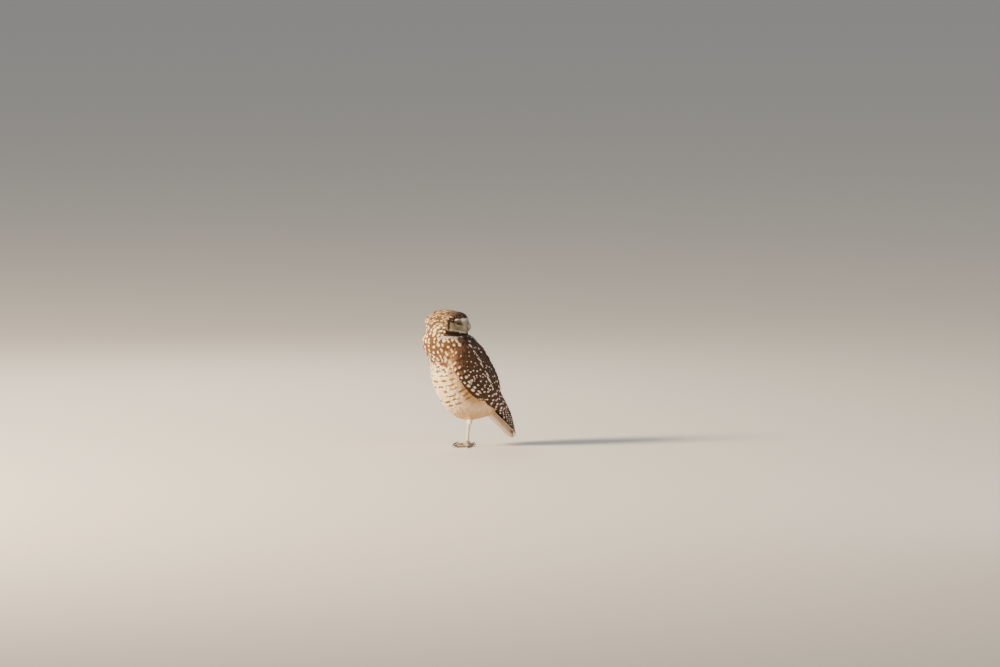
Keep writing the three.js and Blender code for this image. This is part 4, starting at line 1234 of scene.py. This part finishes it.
def coat_piece(name, chosen, kind, seed):
    """A piece of the coat: the chosen feathers with their colours, markings and UV patches."""
    my_roots, my_sizes = roots[chosen], sizes[chosen]
    points, faces, owner, across, from_tip, lies = grow(my_roots, my_sizes, kind, seed)
    points[:, 2] = np.maximum(points[:, 2], 0.1)
    piece = make_mesh(name, points, faces)
    # a feather takes its colours from where its visible end lies, well past its root
    length = my_sizes[:, 1:2]
    ground, nearest = plumage(my_roots + lies * length * 0.62), nearest_mark(my_roots + lies * length * 0.78)
    tone = np.random.default_rng(seed + 500).random(len(my_roots))
    shift = np.random.default_rng(seed + 900).normal(0, 0.28, my_roots.shape) * (length / 12)
    store(piece, "lay", np.stack([across, from_tip, tone[owner]], -1))
    store_marks(piece, points, ground[owner], nearest[owner], shift[owner])
    down = (0.5 - from_tip / my_sizes[owner, 1]).clip(-0.5, 0.5)
    offsets = np.stack([across / my_sizes[owner, 2] / 2, down], -1)
    map_patches(piece, unwrap(my_roots)[owner], offsets, PATCH)
    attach(piece, "root")
    print(name, len(my_roots), "feathers,", len(faces), "triangles")
    return piece


print("the crown on the unwrap:", unwrap(from_head([[0, 0, 25]])).round(2).tolist())

# %% The coat in seven pieces
BREAST_ENDS, BELLY_ENDS = 112, 74  # heights in millimetres
angle = body_coordinates(roots)[1]
head, leg = on_head(roots) > 0.5, on_leg(roots) > 0.5
height = (roots - SHIFT)[:, 2]
on_face = head & (to_head(roots)[:, 1] < -9)
behind = ~head & ~leg & (np.abs(angle) > 95)
front = ~head & ~leg & ~behind
coat = {}
for name, chosen, kind, slot in (
    ("face_feathers", on_face, "bristle", "head_plumage"),
    ("crown_and_nape_feathers", head & ~on_face, "small", "head_plumage"),
    ("breast_feathers", front & (height > BREAST_ENDS), "body", "body_plumage"),
    ("belly_feathers", front & (height <= BREAST_ENDS) & (height > BELLY_ENDS), "body", "body_plumage"),
    ("vent_feathers", front & (height <= BELLY_ENDS), "body", "body_plumage"),
    ("mantle_feathers", behind, "body", "body_plumage"),
    ("leg_feathers", leg, "bristle", "leg_plumage"),
):
    coat[name] = coat_piece(name, np.flatnonzero(chosen), kind, 20 + len(coat))

# %% The skin as a piece
skin = make_mesh("skin", skin_points, skin_faces)
store_marks(skin, skin_points, plumage(skin_points), nearest_mark(skin_points))
flat = unwrap(skin_points)
map_patches(skin, flat, flat * 0, PATCH)
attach(skin, "root")
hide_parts("head", "neck", "torso", "thigh_left", "thigh_right", "tarsus_left", "tarsus_right")
print("skin piece:", len(skin.data.polygons), "triangles")

# %% [markdown]
# ## Wings
# A folded wing is a stack of stiff vanes in tiers, like roof tiles: the long flight feathers lowest,
# then greater, median and lesser coverts up to the shoulder, and the scapulars over the join with the
# back. Each vane is laid on the body's outline from a root to a tip, both given as station and angle,
# and hugs it across its width. Its upper edge tucks under the neighbour nearer the back.

# %% Template of a stiff vane
def vane_template(barbs, seed, loose=0.1, tip_start=0.7, root_share=0.6, splits=2):
    """Points as (across -1..1, along 0..1, lift in mm) and triangles of a vane with a ridge for its shaft."""
    chance = np.random.default_rng(seed)
    along = np.linspace(0, 0.975, barbs + 1)

    def half_width(v):
        rounding = np.clip((v - tip_start) / (1 - tip_start), 0, 1) ** 2
        return (root_share + (1 - root_share) * ramp(v, 0, 0.5)) * np.sqrt(1 - 0.985 * rounding)

    points = [(0.0, v, 0.3 * (1 - 0.6 * v)) for v in along]
    faces = []
    for side in (-1, 1):
        pull = np.ones(barbs + 1)
        for split in chance.integers(int(0.35 * barbs), int(0.9 * barbs), splits):
            pull[split] -= 0.12 + 0.1 * chance.random()
        starts = [0]
        for column in (0.06, 0.35, 0.68, 1 - loose):
            starts.append(len(points))
            tug = 1 - (1 - pull) * (column > 0.8) * 0.6
            points += [(side * column * half_width(v) * t, min(v + 0.05 * column, 0.995), -0.05 * column)
                       for v, t in zip(along, tug)]
        tips = len(points)
        for k in range(barbs):
            v = (along[k] + along[k + 1]) / 2
            reach = half_width(v) * min(pull[k], pull[k + 1]) * (1 + chance.normal(0, 0.02))
            points.append((side * reach, min(v + 0.075, 1.0), -0.12 + chance.normal(0, 0.03)))
        for k in range(barbs):
            for left, right in zip(starts[:-1], starts[1:]):
                a, b, c, d = left + k, left + k + 1, right + k, right + k + 1
                faces += [(a, b, d), (a, d, c)] if side > 0 else [(b, a, d), (d, a, c)]
            face = (starts[-1] + k, starts[-1] + k + 1, tips + k)
            faces.append(face if side > 0 else face[::-1])
    return np.array(points), np.array(faces)


VANES = {
    "flight": [vane_template(44, seed, 0.05, 0.8, 0.6, 3) for seed in range(4)],
    "covert": [vane_template(28, seed, 0.07, 0.6, 0.55, 2) for seed in range(10, 16)],
    "soft": [vane_template(30, seed, 0.1, 0.6, 0.5, 2) for seed in range(20, 24)],
}
print("triangles of a flight feather and a covert:", [len(VANES[kind][0][1]) for kind in ("flight", "covert")])

# %% A vane laid on the body
def for_side(side, points, faces):
    """A shape made for the owl's left, kept for side +1 and mirrored for side -1."""
    points[:, 0] = SHIFT[0] + side * (points[:, 0] - SHIFT[0])
    return points, faces if side > 0 else faces[:, ::-1]


def laid_vane(side, kind, index, start, end, half_width, lift, roll=0.5, camber=0.5):
    """A vane on the body from start to end, each a station and an angle, with each point's across and from-tip."""
    template, faces = VANES[kind][index % len(VANES[kind])]
    u, v, ridge = template.T
    s, angle = blend(start[0], end[0], v), blend(start[1], end[1], v)
    round_it = np.linalg.norm(outline(s, angle + 1) - outline(s, angle - 1), axis=1) / 2
    height = blend(lift[0], lift[1], v) + ridge - roll * u * ramp(v, 0, 0.4) - camber * u**2 * v
    points = outline(s, angle + u * half_width / round_it, height)
    length = np.linalg.norm(outline(end[0], end[1]) - outline(start[0], start[1]))
    return *for_side(side, points, faces), u * half_width, (1 - v) * length


sample = laid_vane(1, "flight", 0, (5.4, 120), (9.9, 130), 5.2, (-3.2, -2.6))
print("a vane from station 5.4 to 9.9 is", round(float(sample[3].max()), 1), "mm long")

# %% Every feather of a folded wing, tier by tier
def wing_tiers(side):
    """Every feather of one folded wing as (tier, how far through it, settings of its vane)."""
    chance = np.random.default_rng(31 if side > 0 else 32)
    tiers = []

    def vary(amount):
        return float(chance.uniform(-amount, amount))

    def edge(s):
        return float(feather_edge(s)[0])

    def add(tier, share, index, start, end, half_width, lift, kind="covert"):
        settings = dict(kind=kind, index=index, start=start, end=end, half_width=half_width, lift=lift)
        tiers.append((tier, share, settings))

    def along(count):
        return enumerate(np.linspace(0, 1, count))

    for i, t in along(10):
        tip = blend(9.95, 8.75, t)
        add("primary", t, i, (5.4, edge(5.4) + 11 + 24 * t), (tip, edge(tip) + 10 + 44 * t**0.8),
            5.2, (-3.2, -2.6 + 1.6 * t), "flight")
    for i, t in along(12):
        tip = blend(7.6, 8.6, t) + vary(0.06)
        add("secondary", t, i, (4.6, blend(edge(4.6) + 9, 166, t)), (tip, blend(edge(tip) + 14, 171, t)),
            blend(6.6, 8.6, t), (-3, -0.9 + 0.3 * t + 0.12 * side * t), "flight")
    for i, t in along(5):
        add("primary_covert", t, i, (3.9 + 0.3 * t, edge(4) + 5 + 8 * t), (6.1 + 0.35 * t, edge(6.2) + 4 + 12 * t),
            4.6, (-2.8, -0.9 + 0.5 * t))
    for i, t in along(11):
        add("greater", t, i, (3.8, blend(edge(3.8) + 11, 128, t)),
            (5.7 + 0.25 * t + vary(0.16), blend(edge(5.7) + 13, 134, t) + vary(2)), 5.6, (-2.6, -0.2))
    for i, t in along(11):
        add("median", t, i + 1, (3.2, blend(edge(3.2) + 10, 124, t)),
            (4.75 + vary(0.16), blend(edge(4.7) + 9, 130, t) + vary(2)), 4.9, (-2.4, 0.1))
    for row, (first, count) in enumerate(((3.2, 11), (2.87, 11), (2.54, 10), (2.21, 10), (1.9, 9))):
        for i, t in along(count):
            begin = first + vary(0.06)
            add("lesser", t, i + row, (begin, blend(edge(begin) + 8 - row, 118, t)),
                (begin + 0.78 + vary(0.1), blend(edge(begin + 0.8) + 6 - row, 122, t) + vary(2)),
                4.9 - 0.15 * row, (-3.6, 0.3 + 0.1 * row))
    scapulars = (  # angle at the shoulder and further back, count, first station
        (113, 112, 9, 1.3), (128, 130, 8, 1.8), (144, 147, 8, 2.1), (160, 163, 8, 2.1), (176, 176, 8, 2.2))
    for row, (low, high, count, begin) in enumerate(scapulars):
        for i, t in along(count):
            root, angle = begin + 3.1 * t, blend(low, high, t) + vary(1.5)
            add("scapular" if row else "pale_edged", row, i + row, (root, angle),
                (root + 1.6 + vary(0.14), angle + 2), 6.4, (-4.0, 0.55 + 0.12 * row))
    for row, (begin, count) in enumerate(((1.75, 6), (1.35, 6), (0.98, 5), (0.66, 5))):
        for i, t in along(count):
            root, angle = begin + vary(0.08), blend(108 - 3 * row, 175, t) + vary(2)
            add("scapular", row, i + row, (root, angle), (root + 1.0 + vary(0.08), angle + 1),
                5.4 - 0.3 * row, (-3.2, 0.4 + 0.06 * row))
    return tiers


print("feathers of a wing:", len(wing_tiers(1)))

# %% Marks of each tier, and the bed that a wing's feathers grow from
WING_MARKS = {  # half length, half width, centre from the tip, share of the half width off the shaft, period
    "primary": (1.5, 2.2, 4.5, 0.6, 11.0),
    "secondary": (1.7, 2.4, 4.5, 0.55, 11.0),
    "primary_covert": (1.6, 1.5, 3.5, -0.35, 0.0),
    "greater": (1.9, 1.6, 3.2, 0.5, 9.5),
    "median": (1.8, 1.6, 3.0, 0.5, 9.0),
    "lesser": (1.2, 1.1, 2.6, 0.0, 0.0),
    "scapular": (1.9, 1.8, 3.6, -0.35, 0.0),
    "pale_edged": (8.5, 1.9, 7.0, -0.7, 0.0),
}


def wing_base(side):
    """The thin closed bed on the trunk's side that the wing's feathers grow from."""
    rings = []
    for s in np.linspace(2.4, 7.4, 26):
        low, high = float(wing_edge(s)[0]) + 3, blend(168, 150, float(ramp(s, 7.2, 7.4)))
        angle = np.linspace(low, high, 22)
        rise = 1 - np.abs(np.linspace(-1, 1, 22)) ** 4
        inner = outline(s, angle, -3.6 - blend(0.4, 2.0, rise))[::-1]
        rings.append(np.vstack([outline(s, angle, blend(-3.4, -2.0, rise)), inner]))
    return for_side(side, *lofted(rings, True, True))


print("triangles of a wing's bed:", len(wing_base(1)[1]))

# %% A piece of single feathers
def feather_row(points, faces, across, from_tip, ground, mark, marked, marks, flat):
    """One feather's entry for feather_piece: its shape, its colours and its spots as marks sets them."""
    half_length, half_width, centre, off_shaft, period = marks
    reach = np.abs(across).max()
    over = (np.abs(across) if period else across) - off_shaft * reach
    repeat = np.full(len(across), (period or NO_REPEAT) / half_length)
    spot = np.stack([(from_tip - centre) / half_length, over / half_width, repeat], -1)
    offset = np.stack([across / reach / 2, (0.5 - from_tip / from_tip.max()).clip(-0.5, 0.5)], -1)
    return {"points": points, "faces": faces, "across": across, "from_tip": from_tip, "ground": ground,
            "mark": mark, "spot": spot, "marked": [marked], "flat": flat, "offset": offset}


def feather_piece(name, feathers, patch):
    """A piece of single feathers, each an entry that feather_row made."""
    chance = np.random.default_rng(len(feathers))
    piece = make_mesh(name, *joined([(row["points"], row["faces"]) for row in feathers]))

    def gather(key):
        """Values that every point has of its own."""
        return np.concatenate([row[key] for row in feathers])

    def spread(key):
        """Values that a feather has once, for each of its points."""
        return np.concatenate([np.tile(row[key], (len(row["points"]), 1)) for row in feathers])

    tone = np.concatenate([np.full(len(row["points"]), chance.random()) for row in feathers])
    store(piece, "lay", np.stack([gather("across"), gather("from_tip"), tone], -1))
    for label, values in (("ground", spread), ("mark", spread), ("spot", gather), ("marked", spread)):
        store(piece, label, values(label))
    map_patches(piece, spread("flat"), gather("offset"), patch)
    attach(piece, "root")
    print(name, len(feathers), "feathers,", len(piece.data.polygons), "triangles")
    return piece


# %% Both wings
SPOTTED_SHARE = {"greater": 0.95, "median": 0.8, "lesser": 0.5, "scapular": 0.6}
LARGER_AT_EDGE = {"greater": 0.6, "median": 0.6, "lesser": 1.1}
chance = np.random.default_rng(51)
wings = {}
for side, word in SIDES.items():
    rows = []
    for tier, t, settings in wing_tiers(side):
        shape = laid_vane(side, **settings)
        tip, tip_angle = settings["end"]
        at_edge = 1 - float(ramp(tip_angle - feather_edge(tip)[0], 3, 24))
        on_wing = tier not in ("scapular", "pale_edged")
        # lighter towards the shoulder and the wing's front edge: partly the feathers' own warmer brown, partly
        # painted light
        shoulder = (1 - float(ramp(tip, 3.4, 5.0))) * (0.25 + 0.75 * at_edge) * on_wing
        ground = blend(COLOURS["mantle"], COLOURS["shoulder"], shoulder)
        size = chance.uniform(0.75, 1.2) * (0.9 + at_edge * LARGER_AT_EDGE.get(tier, 0))
        always = tier in ("primary", "secondary", "primary_covert")
        spotted = always or chance.random() < SPOTTED_SHARE.get(tier, 1.0) + 0.35 * at_edge
        half_length, half_width, centre, off_shaft, period = WING_MARKS[tier]
        centre = centre * chance.uniform(0.85, 1.3)
        off_shaft = off_shaft + chance.uniform(-0.15, 0.15)
        own_marks = (half_length * size, half_width * size, centre, off_shaft, period)
        flat = [side * tip_angle / 360, -tip / 10]
        rows.append(feather_row(*shape, ground, COLOURS["wing_spot"], float(spotted), own_marks, flat))
    points, faces = wing_base(side)
    plain = np.ones(len(points))
    rows.append(feather_row(points, faces, plain, plain * 9.0, COLOURS["mantle"], COLOURS["mantle"], 0.0,
                            WING_MARKS["lesser"], [side * 120 / 360, -0.6]))
    wings[side] = feather_piece(f"wing_feathers_{word}", rows, 0.03)
    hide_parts(f"wing_{word}")

# %% [markdown]
# ## Tail
# The short tail has twelve vanes that fold over one another, the middle pair on top, with brown upper
# coverts over their roots. Below, long loose coverts of pale down reach past the middle of the tail.

# %% The tail's axes and a vane along them
TAIL_ALONG = unit(TAIL_TIP - TAIL_ROOT)
TAIL_UP = np.array([0, -TAIL_ALONG[2], TAIL_ALONG[1]])
TAIL_LENGTH = float(np.linalg.norm(TAIL_TIP - TAIL_ROOT))


def tail_vane(kind, index, x, end, height, half_width, roll=0.0, camber=0.4, bow=0.0):
    """A vane along the tail: x, along and height each go from a root value to a tip value."""
    template, faces = VANES[kind][index % len(VANES[kind])]
    u, v, ridge = template.T
    up = blend(height[0], height[1], v) + ridge - camber * u**2 - roll * u + bow * np.sin(np.pi * v)
    points = TAIL_ROOT + np.outer(blend(end[0], end[1], v), TAIL_ALONG) + np.outer(up, TAIL_UP)
    points[:, 0] += blend(x[0], x[1], v) - u * half_width
    return points, faces, u * half_width, (1 - v) * (end[1] - end[0])


print("length of the tail:", round(TAIL_LENGTH, 1))

# %% Tail feathers and the coverts above and below them
tail_rows, under_rows = [], []
for pair in range(6):
    for side in (-1, 1):
        out = pair + 0.5
        shape = tail_vane("flight", pair, (side * out * 0.9, side * out * 1.71), (0, TAIL_LENGTH - 0.75 * pair),
                          (-0.42 * pair, -0.57 * pair), 6.1, roll=side * 0.45)
        bars_across = (1.2 + 0.45 * pair, 9.0, 3.0, 0.0, 12.0)
        tail_rows.append(feather_row(*shape, COLOURS["tail"], COLOURS["tail_bar"], 1.0,
                                     bars_across, [side * out / 30, 0.2]))
chance = np.random.default_rng(41)
UPPER_COVERTS = (  # count, spread, start, end, height
    (5, 3.2, -2, 30, 0.4), (5, 3.0, -4, 23, 1.0), (4, 3.2, -6, 17, 1.5))
for row, (count, spread, start, end, height) in enumerate(UPPER_COVERTS):
    for i in range(count):
        across = i - (count - 1) / 2
        tip = end - 2 * abs(across) + chance.uniform(-1, 1)
        shape = tail_vane("covert", i + row, (across * spread * 0.8, across * spread), (start, tip),
                          (height, height + 0.2), 4.6, camber=0.7)
        tail_rows.append(feather_row(*shape, COLOURS["mantle"], COLOURS["wing_spot"], 1.0,
                                     (1.6, 1.8, 4.0, -0.3, 0.0), [across / 20, 0.6 + row / 10]))
UNDER_COVERTS = (  # spread, start, end, height at the root and at the tip
    (3.4, 32, 69, -5.2, -3.5), (3.4, 24, 61, -6.8, -4.3), (3.4, 16, 51, -8.2, -5.6), (3.3, 8, 40, -9.2, -7.2))
for row, (spread, start, end, height, drop) in enumerate(UNDER_COVERTS):
    for i, across in enumerate(np.arange(-4.0, 5.0)):
        tip = end - 1.1 * across**2 / 2 + chance.uniform(-1.5, 1.5)
        shape = tail_vane("soft", i + row, (across * spread * 0.9, across * spread), (start, tip),
                          (height + across**2 * 0.32, drop + across**2 * 0.2), 5.6,
                          roll=-0.1 * across, camber=-0.45, bow=-1.0)
        ground = blend(COLOURS["under"], COLOURS["cream"], chance.random() * 0.4)
        under_rows.append(feather_row(*shape, ground, COLOURS["flank"], 0.0,
                                      (1.2, 3, 4, 0.0, 0.0), [across / 20, row / 10]))
tail_piece = feather_piece("tail_feathers", tail_rows, 0.04)
under_piece = feather_piece("undertail_coverts", under_rows, 0.03)
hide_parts("tail")

# %% [markdown]
# ## What feathers are made of
# Feathers are matt keratin. Fine parallel barbs, about 0.45 mm apart, give each vane a slight grain, and
# the sheen stays weak. Each feather carries its own ground colour, the colour of its mark, and where that
# mark sits, so one material draws round spots, bars and streaks: the mark is an ellipse measured from the
# feather's own tip and shaft, with edges that run out along the barbs. A pale or dark tone for each
# feather keeps neighbours apart. The down on the skin below shows only between them, so it is a plain
# fluff in the same colours.

# %% The marks that feathers and skin share
KERATIN_IOR = 1.54


def marked_colour(tree, reach, inner, outer, **settings):
    """The ground colour with the mark laid over it where reach, in mark sizes, is below inner."""
    ground = node(tree, "Attribute", {}, "Vector", attribute_name="ground")
    mark = node(tree, "Attribute", {}, "Vector", attribute_name="mark")
    marked = node(tree, "Attribute", {}, "Fac", attribute_name="marked")
    limits = {"Value": reach, "From Min": inner, "From Max": outer, "To Min": 1.0, "To Max": 0.0}
    inside = node(tree, "MapRange", limits, **settings)
    amount = node(tree, "Math", {0: inside, 1: marked}, operation="MULTIPLY")
    return node(tree, "Mix", {"Factor": amount, 6: ground, 7: mark}, 2, data_type="RGBA")


print("keratin bends light by", KERATIN_IOR)

# %% The plumage material
def plumage_material(name, grain=0.45, spread=0.14):
    """Matt feather keratin with its marks. grain is the spacing of the barbs in mm."""
    made, tree, shader = new_material(name)
    place = node(tree, "TexCoord", {}, "Object")
    lay_stored = node(tree, "Attribute", {}, "Vector", attribute_name="lay")
    spot_stored = node(tree, "Attribute", {}, "Vector", attribute_name="spot")
    lay = node(tree, "SeparateXYZ", {"Vector": lay_stored}).node.outputs
    spot = node(tree, "SeparateXYZ", {"Vector": spot_stored}).node.outputs
    ragged = node(tree, "TexNoise", {"Vector": place, "Scale": 900.0, "Detail": 2.0})  # about 1 mm
    mottle = node(tree, "TexNoise", {"Vector": place, "Scale": 260.0, "Detail": 3.0})  # about 4 mm
    # marks repeat along the feather, so the distance from the nearest one's middle is taken
    half = node(tree, "Math", {0: spot["Z"], 1: 0.5}, operation="MULTIPLY")
    ahead = node(tree, "Math", {0: spot["X"], 1: half}, operation="ADD")
    repeat = node(tree, "Math", {0: ahead, 1: spot["Z"]}, operation="FLOORED_MODULO")
    down = node(tree, "Math", {0: repeat, 1: half}, operation="SUBTRACT")
    out = node(tree, "CombineXYZ", {"X": down, "Y": spot["Y"]})
    reach = node(tree, "VectorMath", {0: out}, "Value", operation="LENGTH")
    rough_edge = node(tree, "Math", {0: ragged, 1: 0.8, 2: reach}, operation="MULTIPLY_ADD")
    coloured = marked_colour(tree, rough_edge, 1.1, 1.6, interpolation_type="SMOOTHSTEP")
    # barbs lean away from the shaft, and tone and mottling vary the colour
    off_shaft = node(tree, "Math", {0: lay["X"]}, operation="ABSOLUTE")
    leaning = node(tree, "Math", {0: off_shaft, 1: 1.3, 2: lay["Y"]}, operation="MULTIPLY_ADD")
    phase = node(tree, "Math", {0: leaning, 1: 2 * math.pi / grain}, operation="MULTIPLY")
    barbs = node(tree, "Math", {0: phase}, operation="SINE")
    tone = node(tree, "MapRange", {"Value": lay["Z"], "To Min": 1 - spread, "To Max": 1 + spread})
    toned = node(tree, "Math", {0: mottle, 1: 0.36, 2: tone}, operation="MULTIPLY_ADD")
    striped = node(tree, "Math", {0: barbs, 1: 0.03, 2: toned}, operation="MULTIPLY_ADD")
    shade = node(tree, "Math", {0: striped, 1: 0.18}, operation="SUBTRACT")
    colour = node(tree, "VectorMath", {0: coloured, "Scale": shade}, operation="SCALE")
    ridges = node(tree, "Bump", {"Height": barbs, "Strength": 0.22, "Distance": 0.00005})
    fill(shader, {"Base Color": colour, "Normal": ridges, "Roughness": 0.78, "Specular IOR Level": 0.2,
                  "IOR": KERATIN_IOR, "Sheen Weight": 0.08, "Sheen Roughness": 0.5})
    return made


wing_plumage = plumage_material("spotted_wing_plumage", 0.5, 0.16)
body_plumage = plumage_material("spotted_and_barred_body_plumage", spread=0.07)
pale_down = plumage_material("pale_leg_and_vent_down", 0.4, 0.06)
for material, pieces in (
    (plumage_material("face_bristle_plumage", 0.3, 0.08), [coat["face_feathers"]]),
    (plumage_material("streaked_crown_plumage", 0.35, 0.16), [coat["crown_and_nape_feathers"]]),
    (body_plumage, [coat[f"{part}_feathers"] for part in ("breast", "belly", "vent")]),
    (wing_plumage, [coat["mantle_feathers"], *wings.values()]),
    (plumage_material("barred_tail_plumage", 0.55, 0.1), [tail_piece]),
    (pale_down, [coat["leg_feathers"], under_piece]),
):
    for piece in pieces:
        piece.data.materials.append(material)
    print(material.name, "on", [piece.name for piece in pieces])

# %% The skin's down
down_material, tree, shader = new_material("down_under_the_coat")
place = node(tree, "TexCoord", {}, "Object")
spot = node(tree, "Attribute", {}, "Vector", attribute_name="spot")
flat_spot = node(tree, "VectorMath", {0: spot, 1: (1, 1, 0)}, operation="MULTIPLY")
reach = node(tree, "VectorMath", {0: flat_spot}, "Value", operation="LENGTH")
fluff = node(tree, "TexNoise", {"Vector": place, "Scale": 1400.0, "Detail": 3.0})
shade = node(tree, "MapRange", {"Value": fluff, "From Min": 0.3, "From Max": 0.7, "To Min": 0.6, "To Max": 0.9})
coloured = marked_colour(tree, reach, 0.8, 1.2)
colour = node(tree, "VectorMath", {0: coloured, "Scale": shade}, operation="SCALE")
tufts = node(tree, "Bump", {"Height": fluff, "Strength": 0.5, "Distance": 0.0002})
fill(shader, {"Base Color": colour, "Normal": tufts, "Roughness": 0.9, "Specular IOR Level": 0.15})
skin.data.materials.append(down_material)
print(down_material.name, "on", skin.name)

# %% [markdown]
# ## Lids, eyes and horn
# The lids' bare rims are nearly black and a little moist. The iris is lemon yellow with fine radial
# fibres and a dark ring round it, under a clear wet cornea. The bill is horn, pale greenish grey, with
# faint growth lines. The claws are dark horn, and the toes grey-buff with round scales.

# %% Lid material
lid_material, tree, shader = new_material("dark_rimmed_lid_skin")
place = node(tree, "TexCoord", {}, "Object")
pores = node(tree, "TexNoise", {"Vector": place, "Scale": 2200.0, "Detail": 3.0})
from_rim = node(tree, "Attribute", {}, "Fac", attribute_name="from_rim")
edge = node(tree, "Math", {0: pores, 1: 1.2, 2: from_rim}, operation="MULTIPLY_ADD")
share = node(tree, "MapRange", {"Value": edge, "From Min": 4.4, "From Max": 6.2}, interpolation_type="SMOOTHSTEP")
colour = node(tree, "Mix", {"Factor": share, 6: linear("#231b17"), 7: linear("#8f7f5e")}, 2, data_type="RGBA")
wrinkles = node(tree, "Bump", {"Height": pores, "Strength": 0.35, "Distance": 0.0001})
fill(shader, {"Base Color": colour, "Normal": wrinkles, "Roughness": 0.5})
for piece in lids.values():
    piece.data.materials.append(lid_material)
print(lid_material.name, "on", [piece.name for piece in lids.values()])

# %% Eye material
# the pupil is drawn wide, to 0.245 of 90 degrees, as painted shade in the middle of the slit
IRIS_BANDS = (  # angle from the line of sight as a share of 90 degrees, and colour
    (0.0, "#050403"), (0.245, "#050403"), (0.27, "#b98a18"), (0.33, "#e6c636"),
    (0.5, "#d8bd40"), (0.55, "#7a6420"), (0.59, "#1a1410"), (1.0, "#1a1410"),
)
eye_material, tree, shader = new_material("lemon_iris_under_wet_cornea")
place = node(tree, "TexCoord", {}, "Object")
fibres = node(tree, "TexNoise", {"Vector": place, "Scale": 1800.0, "Detail": 4.0})
from_sight = node(tree, "Attribute", {}, "Fac", attribute_name="from_sight")
wobble = node(tree, "Math", {0: fibres, 1: 2.0, 2: from_sight}, operation="MULTIPLY_ADD")
share = node(tree, "Math", {0: wobble, 1: 90.0}, operation="DIVIDE")
bands = node(tree, "ValToRGB", {"Fac": share})
stops = bands.node.color_ramp.elements
for position, code in IRIS_BANDS:
    stop = stops.new(position) if 0 < position < 1 else stops[int(position)]
    stop.color = linear(code)
fill(shader, {"Base Color": bands, "Roughness": 0.3, "Specular IOR Level": 0.15,
              "Coat Weight": 0.25, "Coat Roughness": 0.03, "Coat IOR": 1.376})  # the cornea
for piece in eyeballs.values():
    piece.data.materials.append(eye_material)
print(eye_material.name, "on", [piece.name for piece in eyeballs.values()])

# %% Horn of bill and claws, skin of the toes
def horny(name, low, high, lines, roughness, gloss, scaly=False):
    """Keratin with growth lines, or with round scales. lines is their number in a metre."""
    made, tree, shader = new_material(name)
    place = node(tree, "TexCoord", {}, "Object")
    if scaly:
        cells = node(tree, "TexVoronoi", {"Vector": place, "Scale": lines, "Randomness": 0.7},
                     feature="DISTANCE_TO_EDGE")
        limits = {"Value": cells, "From Min": 0.0, "From Max": 0.25}
        layers = node(tree, "MapRange", limits, interpolation_type="SMOOTHSTEP")
    else:
        waves = {"Vector": place, "Scale": lines, "Distortion": 6.0, "Detail": 2.0}
        layers = node(tree, "TexWave", waves, "Fac", bands_direction="Z")
    cloud = node(tree, "TexNoise", {"Vector": place, "Scale": 350.0, "Detail": 3.0})
    mixed = node(tree, "Math", {0: layers, 1: 0.3, 2: cloud}, operation="MULTIPLY_ADD")
    share = node(tree, "MapRange", {"Value": mixed, "From Min": 0.4, "From Max": 0.85})
    colour = node(tree, "Mix", {"Factor": share, 6: linear(low), 7: linear(high)}, 2, data_type="RGBA")
    relief = node(tree, "Bump", {"Height": mixed, "Strength": 0.25, "Distance": 0.0001})
    fill(shader, {"Base Color": colour, "Normal": relief, "Roughness": roughness, "IOR": KERATIN_IOR,
                  "Coat Weight": gloss, "Coat Roughness": 0.2})
    return made


bill_horn = horny("pale_green_bill_horn", "#6d6755", "#a29b83", 60.0, 0.4, 0.25)
claw_horn = horny("dark_claw_horn", "#221c18", "#4a4038", 160.0, 0.4, 0.2)
toe_skin = horny("scaly_toe_skin", "#7d6a54", "#b9a58a", 1100.0, 0.6, 0.05, scaly=True)
for piece in (bill_upper, bill_lower):
    piece.data.materials.append(bill_horn)
for word in FEET:
    bpy.data.objects[f"toes_{word}"].data.materials.append(toe_skin)
    bpy.data.objects[f"claws_{word}"].data.materials.append(claw_horn)
print("horn and scales:", [made.name for made in (bill_horn, claw_horn, toe_skin)])
